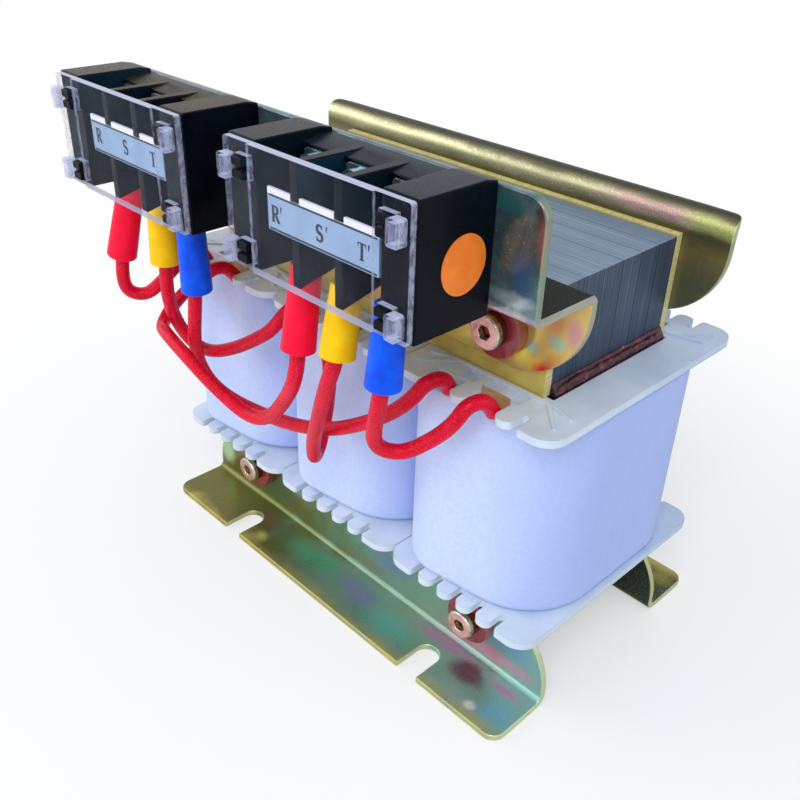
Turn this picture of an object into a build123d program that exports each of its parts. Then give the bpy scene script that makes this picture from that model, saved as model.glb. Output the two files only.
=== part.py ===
from build123d import *
import math
import os

os.makedirs("parts", exist_ok=True)

# A three-phase line reactor with a wound core, clamp brackets and two covered
# terminal blocks. X runs along the core, Y from the terminal side to the back,
# Z up. The origin is on the floor, under the middle of the core. Millimetres.

# Laminated core: an E-shaped stack with a separate yoke on top of the air gaps
limb_width = 30.0
window_height = 76.6
stack_depth = 56.0
gap_height = 4.0
spacer_play = 0.4
spacer_slope = 2.8
spacer_run = 1.8
core_lift = 4.4
packet_count = 6
packet_groove = 0.2

# Clamp bolts with their insulation
bolt_d = 6.0
bolt_head_d = 10.5
bolt_head_height = 4.2
bolt_head_edge_r = 0.7
bolt_socket = 4.0
bolt_socket_depth = 2.4
nut_width = 10.0
nut_height = 5.0
thread_end = 2.0
washer_d = 12.0
washer_t = 1.6
tube_wall = 1.0
tube_play = 0.1
hole_play = 0.15
pad_d = 18.0
pad_t = 3.8

# Insulation boards between the clamp brackets and the core
board_t = 3.0
board_rise = 0.5
board_gap = 0.2

# Clamp brackets of bent sheet
bracket_overhang = 16.0
terminal_bracket_overhang = 13.0
sheet_t = 2.4
bend_inner = 2.4
crest_bend_inner = 3.0
shelf_bend_inner = 0.6
flange_corner_r = 25.0
foot_reach = 23.3
foot_flange_drop = 2.8
foot_corner_r = 5.0
foot_slot_width = 9.0
foot_slot_spacing = 102.0
foot_slot_depth = 14.7
flange_drop = 11.8
crest_rise = 9.0
lip_reach = 3.4
lip_corner_r = 4.0
shelf_rise = 1.2
shelf_reach = 23.5
panel_drop = 1.7
panel_corner_r = 6.0

# Moulded bobbins
bobbin_spread = 1.2
bobbin_gap = 0.4
bobbin_depth = 97.0
bobbin_wall = 1.5
limb_play = 1.3
bobbin_seat = 0.2
bobbin_proud = 0.5
flange_t = 2.6
flange_corner = 7.0
lobe_corner = 1.2
finger_pitch = 8.5
finger_slot = 2.5
finger_slot_depth = 7.3
finger_tip_r = 2.6
slot_count = 5
lead_slot_depth = 8.5
pocket_depth = 1.3
pocket_inner_gap = 2.4
pocket_outer_gap = 2.6
pocket_rib = 2.8
rim_gap = 0.5
rib_height = 0.6
rib_width = 1.3
rib_start = 16.4
rib_ends = [(26.0, 34.4), (25.4, 41.0)]

# Coils: an enamelled winding inside a paper wrap that is fuller at the front left
wrap_inset = 0.8
wrap_front_left = 47.5
wrap_front_right = 40.0
wrap_rear = 42.0
wrap_r_front_left = 15.5
wrap_r_front_right = 26.0
wrap_r_rear = 25.0
wrap_t = 1.2
wrap_fold = 1.5
wrap_gap = 0.3
wrap_low_edge_r = 3.0
wrap_high_edge_r = 2.0
winding_play = 0.2

# Terminal blocks
block_length = 69.4
block_depth = 25.6
block_drop = 1.0
block_height = 34.8
left_block_margin = 1.4
right_block_margin = 14.5
end_wall = 11.6
wall_slope = 4.0
wall_drop = 0.8
barrier_t = 3.2
pole_count = 3
band_depth = 3.5
band_drop = 1.8
barrier_setback = 0.2
barrier_slope = 5.5
seat_depth = 9.6
seat_low = 5.8
seat_foot = 1.0
seat_step = 0.2
hood_play = 0.2
hood_drop = 1.0
hood_lip = 1.4
block_edge_r = 0.8
post_width = 4.6
post_height = 2.4
post_gap = 1.0
post_reach = 3.4
post_corner_r = 0.6
post_inset = 8.0
clip_low = 5.0
clip_high_drop = 7.2

# Terminal hardware
bar_width = 9.5
bar_t = 1.2
bar_margin = 0.4
screw_d = 4.0
screw_length = 8.0
screw_head_d = 7.4
screw_head_h = 2.6
screw_slot = 1.0
screw_slot_depth = 1.0
screw_low = 9.3
screw_high_margin = 3.3
square_washer = 8.4
square_washer_t = 1.0
fix_head_d = 7.8
fix_head_h = 2.6
fix_length = 12.0
fix_rise = 17.0
fix_play = 0.2

# Transparent covers and label strips
cover_t = 1.8
cover_inset = 0.5
cover_low = 0.4
cover_bulge = 0.8
cover_seat = 0.1
window_play = 0.3
hook_width = 4.0
hook_height = 6.6
hook_reach = 2.8
hook_wall = 0.9
label_left_margin = 3.9
label_right_margin = 0.9
label_low = 13.0
label_height = 9.6
label_tab = 1.6
label_t = 0.8
label_play = 0.2

# Ring lugs, their sleeves and the leads
lug_ring_d = 9.0
lug_t = 1.0
lug_neck = 4.6
lug_barrel_d = 6.2
lug_reach = 11.0
lug_stand = 4.3
lug_bend = [(-2.6, -1.0), (1.8, -2.4), (1.8, -0.6), (-1.0, 0.6)]
lug_shoulder = [1.4, 2.2]
lug_pivot_rise = 2.8
sleeve_start = 1.5
sleeve_top_d = 8.6
sleeve_end_d = 10.2
sleeve_bore_top = 6.6
sleeve_bore_end = 7.8
sleeve_rim_r = 0.5
lead_d = 4.7
lead_slot_left = -10.2
lead_slot_right = 6.8
lead_slot_inset = 4.8
lead_rise = 0.3
arc_share = 0.45
paper_t = 0.3
paper_play = 0.3
paper_height = 4.6

# Round inspection sticker on the outer wall of the right block
sticker_d = 15.0
sticker_t = 0.2
sticker_reach = 10.3
sticker_rise = 16.2

# How near two vertices count as one place
same_place = 0.01

# Places worked out from the sizes above
limb_pitch = 2 * limb_width
core_length = 5 * limb_width
yoke_height = limb_width
half_depth = stack_depth / 2
low_yoke_top = core_lift + yoke_height
limb_top = low_yoke_top + window_height
high_yoke_base = limb_top + gap_height
core_top = high_yoke_base + yoke_height
low_bolt_z = core_lift + yoke_height / 2
high_bolt_z = high_yoke_base + yoke_height / 2
bracket_length = core_length + 2 * bracket_overhang
terminal_bracket_length = core_length + 2 * terminal_bracket_overhang
bolt_places = [(x, z) for x in (-limb_pitch, limb_pitch) for z in (low_bolt_z, high_bolt_z)]
tube_d = bolt_d + 2 * tube_play + 2 * tube_wall
bolt_hole_d = tube_d + 2 * hole_play

board_face = half_depth + board_t
flange_face = board_face + sheet_t
bend_outer = bend_inner + sheet_t
crest_bend_outer = crest_bend_inner + sheet_t
shelf_bend_outer = shelf_bend_inner + sheet_t
foot_flange_top = low_yoke_top - foot_flange_drop
foot_edge = flange_face + foot_reach
shelf_base = core_top + shelf_rise
panel_face = flange_face + shelf_reach
crest_top = core_top + crest_rise
flange_base = high_bolt_z - flange_drop

bobbin_base = low_yoke_top + bobbin_seat
bobbin_top = limb_top + bobbin_proud
bobbin_height = bobbin_top - bobbin_base
bobbin_pitch = limb_pitch + bobbin_spread
bobbin_length = bobbin_pitch - bobbin_gap
flange_under = bobbin_top - flange_t
bore_length = limb_width + 2 * limb_play
bore_depth = stack_depth + 2 * limb_play
tube_length = bore_length + 2 * bobbin_wall
tube_depth = bore_depth + 2 * bobbin_wall
coil_base = bobbin_base + flange_t + wrap_gap
coil_top = flange_under - wrap_gap
bobbin_centres = {"left": -bobbin_pitch, "middle": 0.0, "right": bobbin_pitch}
wrap_half_width = bobbin_length / 2 - wrap_inset
lead_slot_y = -bobbin_depth / 2 + lead_slot_inset

block_face = panel_face + block_depth
block_base = shelf_base - block_drop
block_top = block_base + block_height
panel_top = block_top - panel_drop
block_reach = (terminal_bracket_length - block_length) / 2
block_centres = {"left": left_block_margin - block_reach, "right": block_reach - right_block_margin}
pole_room = block_length - 2 * end_wall
pole_width = (pole_room - (pole_count - 1) * barrier_t) / pole_count
pole_pitch = pole_width + barrier_t
seat_face = panel_face + seat_depth
bar_face = seat_face + bar_t
lug_axis_y = bar_face + lug_stand
hood_face = bar_face - hood_play
seat_high = block_height - band_drop - hood_drop - hood_lip - seat_step
screw_high = seat_high - screw_high_margin
label_length = pole_room - label_left_margin - label_right_margin
label_shift = (label_left_margin - label_right_margin) / 2
cover_back = block_face + cover_seat
cover_face = cover_back + cover_t
label_back = block_face - barrier_setback - label_t - label_play
post_z = (block_base + clip_low, block_top - clip_high_drop)
post_offset = block_length / 2 - post_inset


def save(piece, name):
    """Label a finished piece and write it under its own name."""
    piece.part.label = name
    export_step(piece.part, "parts/" + name + ".step")


def pole_centres(centre_x):
    """X of the three poles of a terminal block."""
    return [centre_x + (i - (pole_count - 1) / 2) * pole_pitch for i in range(pole_count)]


# Core. Shallow grooves part the stack into packets, as on a stack of many sheets.
def packet_lines():
    """Y of the grooves between the packets of sheets."""
    step = stack_depth / packet_count
    return [-half_depth + step * i for i in range(1, packet_count)]


with BuildPart() as core_stack:
    with BuildSketch(Plane.XZ.offset(-half_depth)):
        with Locations((0, (core_lift + limb_top) / 2)):
            Rectangle(core_length, limb_top - core_lift)
        for side in (-1, 1):
            with Locations((side * limb_width, (low_yoke_top + limb_top) / 2)):
                Rectangle(limb_width, window_height, mode=Mode.SUBTRACT)
        with Locations(*[(x, low_bolt_z) for x in (-limb_pitch, limb_pitch)]):
            Circle(bolt_hole_d / 2, mode=Mode.SUBTRACT)
    extrude(amount=stack_depth)
    for y in packet_lines():
        with BuildSketch(Plane.XZ.offset(-y - packet_groove / 2)):
            with Locations((0, core_lift + yoke_height / 2)):
                Rectangle(core_length, yoke_height)
                Rectangle(core_length - 2 * packet_groove, yoke_height, mode=Mode.SUBTRACT)
        extrude(amount=packet_groove, mode=Mode.SUBTRACT)
save(core_stack, "core_stack")

with BuildPart() as core_yoke:
    with BuildSketch(Plane.XZ.offset(-half_depth)):
        with Locations((0, high_bolt_z)):
            Rectangle(core_length, yoke_height)
        with Locations(*[(x, high_bolt_z) for x in (-limb_pitch, limb_pitch)]):
            Circle(bolt_hole_d / 2, mode=Mode.SUBTRACT)
    extrude(amount=stack_depth)
    for y in packet_lines():
        with BuildSketch(Plane.XZ.offset(-y - packet_groove / 2)):
            with Locations((0, high_bolt_z)):
                Rectangle(core_length, yoke_height)
                Rectangle(core_length - 2 * packet_groove, yoke_height - 2 * packet_groove,
                          mode=Mode.SUBTRACT)
        extrude(amount=packet_groove, mode=Mode.SUBTRACT)
save(core_yoke, "core_yoke")

# Spacers in the gaps. Their lower part fills the mouth of the bobbin, their upper edge slopes.
with BuildPart() as gap_spacers:
    half_spacer = bore_length / 2 - spacer_play
    for centre_x in bobbin_centres.values():
        with BuildSketch(Plane.XZ.offset(-half_depth)):
            with BuildLine():
                Polyline((centre_x - half_spacer, limb_top),
                         (centre_x - half_spacer, high_yoke_base - spacer_slope),
                         (centre_x - half_spacer + spacer_run, high_yoke_base),
                         (centre_x + half_spacer - spacer_run, high_yoke_base),
                         (centre_x + half_spacer, high_yoke_base - spacer_slope),
                         (centre_x + half_spacer, limb_top), close=True)
            make_face()
        extrude(amount=stack_depth)
save(gap_spacers, "gap_spacers")


# Insulation boards, front and back, between each yoke and its clamp bracket
def make_board(low, high, bolt_z, side):
    """A board on the front (side -1) or back (side 1) of a yoke."""
    back = half_depth if side > 0 else -board_face
    with BuildPart() as board:
        with BuildSketch(Plane.XZ.offset(-back)):
            with Locations((0, (low + high) / 2)):
                Rectangle(core_length, high - low)
            with Locations(*[(x, bolt_z) for x in (-limb_pitch, limb_pitch)]):
                Circle(bolt_hole_d / 2, mode=Mode.SUBTRACT)
        extrude(amount=-board_t)
    return board


for end, side in (("front", -1), ("rear", 1)):
    save(make_board(bobbin_top + board_gap, core_top + board_rise, high_bolt_z, side),
         "insulation_board_top_" + end)
    save(make_board(core_lift, low_yoke_top - board_rise, low_bolt_z, side),
         "insulation_board_bottom_" + end)


# Foot brackets: an angle with an open slot near each end of the foot
with BuildPart() as foot_bracket_front:
    with BuildSketch(Plane.YZ.offset(-bracket_length / 2)):
        with BuildLine():
            FilletPolyline((-foot_edge, 0), (-board_face, 0), (-board_face, foot_flange_top),
                           radius=bend_outer)
            offset(amount=sheet_t, side=Side.LEFT)
        make_face()
    extrude(amount=bracket_length)
    fillet(foot_bracket_front.edges().filter_by(Axis.Y).group_by(Axis.Z)[-1], flange_corner_r)
    fillet(foot_bracket_front.edges().filter_by(Axis.Z).group_by(Axis.Y)[0], foot_corner_r)
    slot_end = -foot_edge + foot_slot_depth - foot_slot_width / 2
    with BuildSketch(Plane.XY):
        for side in (-1, 1):
            x = side * foot_slot_spacing / 2
            with Locations((x, (-foot_edge + slot_end) / 2)):
                Rectangle(foot_slot_width, slot_end + foot_edge)
            with Locations((x, slot_end)):
                Circle(foot_slot_width / 2)
    extrude(amount=sheet_t, mode=Mode.SUBTRACT)
    with BuildSketch(Plane.XZ.offset(board_face)):
        with Locations(*[(x, low_bolt_z) for x in (-limb_pitch, limb_pitch)]):
            Circle(bolt_hole_d / 2)
    extrude(amount=sheet_t, mode=Mode.SUBTRACT)
save(foot_bracket_front, "foot_bracket_front")

with BuildPart() as foot_bracket_rear:
    mirror(foot_bracket_front.part, about=Plane.XZ)
save(foot_bracket_rear, "foot_bracket_rear")

# Top rear bracket: a flange with a rolled crest and a short lip to the back
with BuildPart() as top_bracket_rear:
    with BuildSketch(Plane.YZ.offset(-bracket_length / 2)):
        with BuildLine():
            FilletPolyline((board_face, flange_base), (board_face, crest_top),
                           (flange_face + lip_reach, crest_top), radius=crest_bend_outer)
            offset(amount=sheet_t, side=Side.RIGHT)
        make_face()
    extrude(amount=bracket_length)
    fillet(top_bracket_rear.edges().filter_by(Axis.Y).group_by(Axis.Z)[0], flange_corner_r)
    with BuildSketch(Plane.XZ.offset(-board_face)):
        with Locations(*[(x, high_bolt_z) for x in (-limb_pitch, limb_pitch)]):
            Circle(bolt_hole_d / 2)
    extrude(amount=-sheet_t, mode=Mode.SUBTRACT)
    with BuildSketch(Plane.XY.offset(crest_top - crest_bend_outer)):
        for side in (-1, 1):
            corner = (side * (bracket_length / 2 - lip_corner_r),
                      flange_face + lip_reach - lip_corner_r)
            with Locations((corner[0] + side * lip_corner_r / 2, corner[1] + lip_corner_r / 2)):
                Rectangle(lip_corner_r, lip_corner_r)
            with Locations(corner):
                Circle(lip_corner_r, mode=Mode.SUBTRACT)
    extrude(amount=crest_bend_outer, mode=Mode.SUBTRACT)
save(top_bracket_rear, "top_bracket_rear")

# Terminal bracket: a flange on the core, a shelf forward and a panel for the blocks
with BuildPart() as terminal_bracket:
    with BuildSketch(Plane.YZ.offset(-terminal_bracket_length / 2)):
        with BuildLine():
            FilletPolyline((-board_face, flange_base), (-board_face, shelf_base + sheet_t),
                           (-panel_face + sheet_t, shelf_base + sheet_t),
                           (-panel_face + sheet_t, panel_top),
                           radius=[shelf_bend_outer, shelf_bend_inner])
            offset(amount=sheet_t, side=Side.LEFT)
        make_face()
    extrude(amount=terminal_bracket_length)
    fillet(terminal_bracket.edges().filter_by(Axis.Y).group_by(Axis.Z)[0], flange_corner_r)
    fillet(terminal_bracket.edges().filter_by(Axis.Y).group_by(Axis.Z)[-1], panel_corner_r)
    with BuildSketch(Plane.XZ.offset(board_face)):
        with Locations(*[(x, high_bolt_z) for x in (-limb_pitch, limb_pitch)]):
            Circle(bolt_hole_d / 2)
    extrude(amount=sheet_t, mode=Mode.SUBTRACT)
    fix_places = [(centre + side * (block_length - end_wall) / 2, block_base + fix_rise)
                  for centre in block_centres.values() for side in (-1, 1)]
    with BuildSketch(Plane.XZ.offset(panel_face - sheet_t)):
        with Locations(*fix_places):
            Circle(screw_d / 2 + fix_play)
    extrude(amount=sheet_t, mode=Mode.SUBTRACT)
save(terminal_bracket, "terminal_bracket")

# Clamp bolts: low cap heads at the front, nuts at the back, insulated on both sides
front_pad_face = flange_face + pad_t
rear_nut_seat = flange_face + pad_t + washer_t

with BuildPart() as clamp_bolts:
    with BuildSketch(Plane.XZ.offset(front_pad_face)):
        with Locations(*bolt_places):
            Circle(bolt_d / 2)
    extrude(amount=-(front_pad_face + rear_nut_seat + nut_height + thread_end))
    with BuildSketch(Plane.XZ.offset(front_pad_face)):
        with Locations(*bolt_places):
            Circle(bolt_head_d / 2)
    extrude(amount=bolt_head_height)
    fillet(clamp_bolts.edges().filter_by(GeomType.CIRCLE).group_by(Axis.Y)[0],
           bolt_head_edge_r)
    with BuildSketch(Plane.XZ.offset(front_pad_face + bolt_head_height)):
        with Locations(*bolt_places):
            RegularPolygon(bolt_socket / 2, 6, major_radius=False)
    extrude(amount=-bolt_socket_depth, mode=Mode.SUBTRACT)
save(clamp_bolts, "clamp_bolts")

with BuildPart() as clamp_nuts:
    with BuildSketch(Plane.XZ.offset(-rear_nut_seat)):
        with Locations(*bolt_places):
            RegularPolygon(nut_width / 2, 6, major_radius=False)
            Circle(bolt_d / 2, mode=Mode.SUBTRACT)
    extrude(amount=-nut_height)
save(clamp_nuts, "clamp_nuts")

with BuildPart() as steel_washers:
    with BuildSketch(Plane.XZ.offset(-flange_face - pad_t)):
        with Locations(*bolt_places):
            Circle(washer_d / 2)
            Circle(bolt_d / 2 + tube_play, mode=Mode.SUBTRACT)
    extrude(amount=-washer_t)
save(steel_washers, "steel_washers")

with BuildPart() as insulating_washers:
    for face, direction in ((flange_face, 1), (-flange_face, -1)):
        with BuildSketch(Plane.XZ.offset(face)):
            with Locations(*bolt_places):
                Circle(pad_d / 2)
                Circle(bolt_d / 2 + tube_play, mode=Mode.SUBTRACT)
        extrude(amount=direction * pad_t)
save(insulating_washers, "insulating_washers")

with BuildPart() as insulating_tubes:
    with BuildSketch(Plane.XZ.offset(-flange_face)):
        with Locations(*bolt_places):
            Circle(tube_d / 2)
            Circle(bolt_d / 2 + tube_play, mode=Mode.SUBTRACT)
    extrude(amount=2 * flange_face)
save(insulating_tubes, "insulating_tubes")


# Bobbins: a tube round the limb and two flanges with fingers along front and back
def flange_outline(centre_x, lead_side):
    """Add the flange outline to the sketch that is open; lead_side opens it for the leads."""
    edge = bobbin_depth / 2
    with Locations((centre_x, 0)):
        flange = Rectangle(bobbin_length, bobbin_depth)
    fillet(flange.vertices(), flange_corner)
    slot_end = edge - finger_slot_depth + finger_slot / 2
    for side in (-1, 1):
        for i in range(slot_count):
            x = centre_x + (i - (slot_count - 1) / 2) * finger_pitch
            with Locations((x, side * (edge + slot_end) / 2)):
                Rectangle(finger_slot, edge - slot_end, mode=Mode.SUBTRACT)
            with Locations((x, side * slot_end)):
                Circle(finger_slot / 2, mode=Mode.SUBTRACT)
    if lead_side:
        for lead_x in (lead_slot_left, lead_slot_right):
            middle = (math.floor(lead_x / finger_pitch) + 0.5) * finger_pitch
            with Locations((centre_x + middle, -edge + lead_slot_depth / 2)):
                Rectangle(finger_pitch + finger_slot, lead_slot_depth, mode=Mode.SUBTRACT)


def rib_outline(centre_x):
    """The rims beside the boards and the two ribs of each lobe, as a flat sketch."""
    rim_y = board_face + rim_gap + rib_width / 2
    with BuildSketch() as outline:
        for side in (-1, 1):
            with Locations((centre_x, side * rim_y)):
                Rectangle(2 * rib_start, rib_width)
            for end in (-1, 1):
                for reach, out in rib_ends:
                    start = Vector(centre_x + end * rib_start, side * rim_y)
                    finish = Vector(centre_x + end * reach, side * out)
                    run = finish - start
                    turn = math.degrees(math.atan2(run.Y, run.X))
                    with Locations((start + finish) / 2):
                        SlotOverall(run.length + rib_width, rib_width, rotation=turn)
    return outline.sketch


def make_bobbin(centre_x):
    """A bobbin on the limb that stands at centre_x."""
    edge = bobbin_depth / 2
    with BuildPart() as bobbin:
        with BuildSketch(Plane.XY.offset(bobbin_base)):
            with Locations((centre_x, 0)):
                Rectangle(tube_length, tube_depth)
        extrude(amount=bobbin_height)
        for base, lead_side in ((bobbin_base, False), (flange_under, True)):
            with BuildSketch(Plane.XY.offset(base)) as outline:
                flange_outline(centre_x, lead_side)
                tips = [v for v in outline.vertices() if abs(abs(v.Y) - edge) < same_place
                        and abs(v.X - centre_x) < (slot_count - 1) / 2 * finger_pitch]
                fillet(tips, finger_tip_r)
                lobes = [v for v in outline.vertices() if abs(abs(v.Y) - edge) < same_place
                         and (slot_count - 1) / 2 * finger_pitch < abs(v.X - centre_x)
                         < bobbin_length / 2 - flange_corner - lobe_corner]
                fillet(lobes, lobe_corner)
            extrude(amount=flange_t)
        with BuildSketch(Plane.XY.offset(bobbin_base)):
            with Locations((centre_x, 0)):
                Rectangle(bore_length, bore_depth)
        extrude(amount=bobbin_height, mode=Mode.SUBTRACT)
        pocket_inner = tube_depth / 2 + pocket_inner_gap
        pocket_outer = edge - finger_slot_depth - pocket_outer_gap
        pocket_centre = (pocket_inner + pocket_outer) / 2
        for face, direction in ((bobbin_top, -1), (bobbin_base, 1)):
            with BuildSketch(Plane.XY.offset(face)):
                with Locations(*[(centre_x + i * finger_pitch, side * pocket_centre)
                                 for i in (-1, 0, 1) for side in (-1, 1)]):
                    Rectangle(finger_pitch - pocket_rib, pocket_outer - pocket_inner)
            extrude(amount=direction * pocket_depth, mode=Mode.SUBTRACT)
        with BuildSketch(Plane.XY.offset(bobbin_top)):
            add(rib_outline(centre_x))
        extrude(amount=rib_height)
    return bobbin


# Coils: the paper wrap closes over the ends of the winding
def wrap_outline(centre_x):
    """The coil's rounded outline as a flat sketch."""
    with BuildSketch() as outline:
        with BuildLine():
            FilletPolyline((centre_x - wrap_half_width, wrap_rear),
                           (centre_x - wrap_half_width, -wrap_front_left),
                           (centre_x + wrap_half_width, -wrap_front_right),
                           (centre_x + wrap_half_width, wrap_rear),
                           radius=[wrap_r_rear, wrap_r_front_left, wrap_r_front_right,
                                   wrap_r_rear], close=True)
        make_face()
    return outline.sketch


def turns_block(centre_x):
    """The room inside the paper, before the bobbin's tube is taken out of it."""
    with BuildPart() as turns:
        with BuildSketch(Plane.XY.offset(coil_base + wrap_fold)):
            add(wrap_outline(centre_x))
            offset(amount=-wrap_t, mode=Mode.REPLACE)
        extrude(amount=coil_top - coil_base - 2 * wrap_fold)
        fillet(turns.edges().group_by(Axis.Z)[0], wrap_low_edge_r - wrap_t)
    return turns


def tube_room(centre_x):
    """The room of the bobbin's tube inside a coil."""
    with BuildPart() as room:
        with BuildSketch(Plane.XY.offset(coil_base)):
            with Locations((centre_x, 0)):
                Rectangle(tube_length + 2 * winding_play, tube_depth + 2 * winding_play)
        extrude(amount=coil_top - coil_base)
    return room


def make_wrap(centre_x):
    """The paper round one coil, folded over its two ends."""
    turns = turns_block(centre_x)
    room = tube_room(centre_x)
    with BuildPart() as wrap:
        with BuildSketch(Plane.XY.offset(coil_base)):
            add(wrap_outline(centre_x))
        extrude(amount=coil_top - coil_base)
        fillet(wrap.edges().group_by(Axis.Z)[0], wrap_low_edge_r)
        fillet(wrap.edges().group_by(Axis.Z)[-1], wrap_high_edge_r)
        add(turns.part, mode=Mode.SUBTRACT)
        add(room.part, mode=Mode.SUBTRACT)
    return wrap


def make_winding(centre_x):
    """The turns of one coil, as the solid block that they are wound into."""
    turns = turns_block(centre_x)
    room = tube_room(centre_x)
    with BuildPart() as winding:
        add(turns.part)
        add(room.part, mode=Mode.SUBTRACT)
    return winding


for name, centre_x in bobbin_centres.items():
    save(make_bobbin(centre_x), "bobbin_" + name)
    save(make_wrap(centre_x), "coil_wrap_" + name)
    save(make_winding(centre_x), "winding_" + name)


# Terminal blocks
def make_block(centre_x):
    """The moulded body: end walls, back band, barriers, terminal seats and clip posts."""
    barrier_front = block_face - barrier_setback
    barrier_top = block_top - band_drop
    label_base = block_base + label_low - label_play
    label_top = block_base + label_low + label_height + label_play
    half_length = block_length / 2
    with BuildPart() as body:
        for wall_start in (centre_x - half_length, centre_x + half_length - end_wall):
            with BuildSketch(Plane.YZ.offset(wall_start)):
                with BuildLine():
                    Polyline((-panel_face, block_base), (-panel_face, block_top - wall_drop),
                             (-panel_face - wall_slope, block_top), (-block_face, block_top),
                             (-block_face, block_base), close=True)
                make_face()
            extrude(amount=end_wall)
        front_edges = body.edges().filter_by(Axis.X).group_by(Axis.Z)[-1].group_by(Axis.Y)[0]
        fillet(front_edges, block_edge_r)
        with BuildSketch(Plane.YZ.offset(centre_x - pole_room / 2)):
            with BuildLine():
                Polyline((-panel_face, block_base), (-panel_face, barrier_top),
                         (-panel_face - band_depth, barrier_top),
                         (-hood_face, barrier_top - hood_drop),
                         (-hood_face, barrier_top - hood_drop - hood_lip),
                         (-seat_face, block_base + seat_high),
                         (-seat_face, block_base + seat_low),
                         (-panel_face - band_depth, block_base + seat_low - seat_foot),
                         (-panel_face - band_depth, block_base), close=True)
            make_face()
        extrude(amount=pole_room)
        for i in range(pole_count - 1):
            x = centre_x + (i - (pole_count - 2) / 2) * pole_pitch
            with BuildSketch(Plane.YZ.offset(x - barrier_t / 2)):
                with BuildLine():
                    Polyline((-panel_face - band_depth / 2, block_base + barrier_slope),
                             (-panel_face - band_depth / 2, barrier_top),
                             (-barrier_front, barrier_top), (-barrier_front, label_top),
                             (-label_back, label_top), (-label_back, label_base),
                             (-barrier_front, label_base), (-barrier_front, block_base),
                             close=True)
                make_face()
            extrude(amount=barrier_t)
        with BuildSketch(Plane.XZ.offset(block_face)):
            for side in (-1, 1):
                for z in post_z:
                    for rise in (-1, 1):
                        place = (centre_x + side * post_offset,
                                 z + rise * (post_gap + post_height) / 2)
                        with Locations(place):
                            RectangleRounded(post_width, post_height, post_corner_r)
        extrude(amount=post_reach)
        with BuildSketch(Plane.XZ.offset(seat_face)):
            with Locations(*[(x, block_base + rise) for x in pole_centres(centre_x)
                             for rise in (screw_low, screw_high)]):
                Circle(screw_d / 2)
        extrude(amount=-screw_length, mode=Mode.SUBTRACT)
        with BuildSketch(Plane.XZ.offset(panel_face)):
            for side in (-1, 1):
                with Locations((centre_x + side * (half_length - end_wall / 2),
                                block_base + fix_rise)):
                    Circle(screw_d / 2)
        extrude(amount=fix_length - sheet_t, mode=Mode.SUBTRACT)
    return body


def make_cover(centre_x):
    """The clear cover: a plate with a proud middle, clip windows and four hooks."""
    low = block_base + cover_low
    length = block_length - 2 * cover_inset
    height = block_height - 2 * cover_low
    window_width = post_width + 2 * window_play
    window_height_z = 2 * post_height + post_gap + 2 * window_play
    hook_offset = post_offset + window_width / 2 + hook_width / 2
    with BuildPart() as cover:
        with BuildSketch(Plane.XZ.offset(cover_back)):
            with Locations((centre_x, low + height / 2)):
                RectangleRounded(length, height, block_edge_r)
        extrude(amount=cover_t)
        with BuildSketch(Plane.XZ.offset(cover_face)):
            with Locations((centre_x, low + height / 2)):
                Rectangle(pole_room, height)
        extrude(amount=cover_bulge)
        with BuildSketch(Plane.XZ.offset(cover_face)):
            for side in (-1, 1):
                for z in post_z:
                    with Locations((centre_x + side * hook_offset, z)):
                        RectangleRounded(hook_width, hook_height, hook_wall)
                        Rectangle(hook_width - 2 * hook_wall, hook_height - 2 * hook_wall,
                                  mode=Mode.SUBTRACT)
        extrude(amount=hook_reach)
        with BuildSketch(Plane.XZ.offset(cover_back)):
            for side in (-1, 1):
                for z in post_z:
                    with Locations((centre_x + side * post_offset, z)):
                        Rectangle(window_width, window_height_z)
        extrude(amount=cover_t, mode=Mode.SUBTRACT)
    return cover


def make_label(centre_x):
    """The label strip, with tabs that stand up between the barriers."""
    low = block_base + label_low
    left = centre_x + label_shift - label_length / 2
    edge = pole_pitch / 2 + barrier_t / 2 + label_play
    inner = pole_pitch / 2 - barrier_t / 2 - label_play
    tabs = [(left, centre_x - edge), (centre_x - inner, centre_x + inner),
            (centre_x + edge, left + label_length)]
    with BuildPart() as label:
        with BuildSketch(Plane.XZ.offset(label_back)):
            with Locations((left + label_length / 2, low + label_height / 2)):
                Rectangle(label_length, label_height)
            for tab_left, tab_right in tabs:
                with Locations(((tab_left + tab_right) / 2, low + label_height + label_tab / 2)):
                    Rectangle(tab_right - tab_left, label_tab)
        extrude(amount=label_t)
    return label


def make_bars(centre_x):
    """The three terminal bars, one behind the two screws of each pole."""
    low = block_base + seat_low + bar_margin
    high = block_base + seat_high - bar_margin
    with BuildPart() as bars:
        with BuildSketch(Plane.XZ.offset(seat_face)):
            for x in pole_centres(centre_x):
                with Locations((x, (low + high) / 2)):
                    RectangleRounded(bar_width, high - low, bar_t)
                with Locations((x, block_base + screw_low), (x, block_base + screw_high)):
                    Circle(screw_d / 2, mode=Mode.SUBTRACT)
        extrude(amount=bar_t)
    return bars


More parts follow.
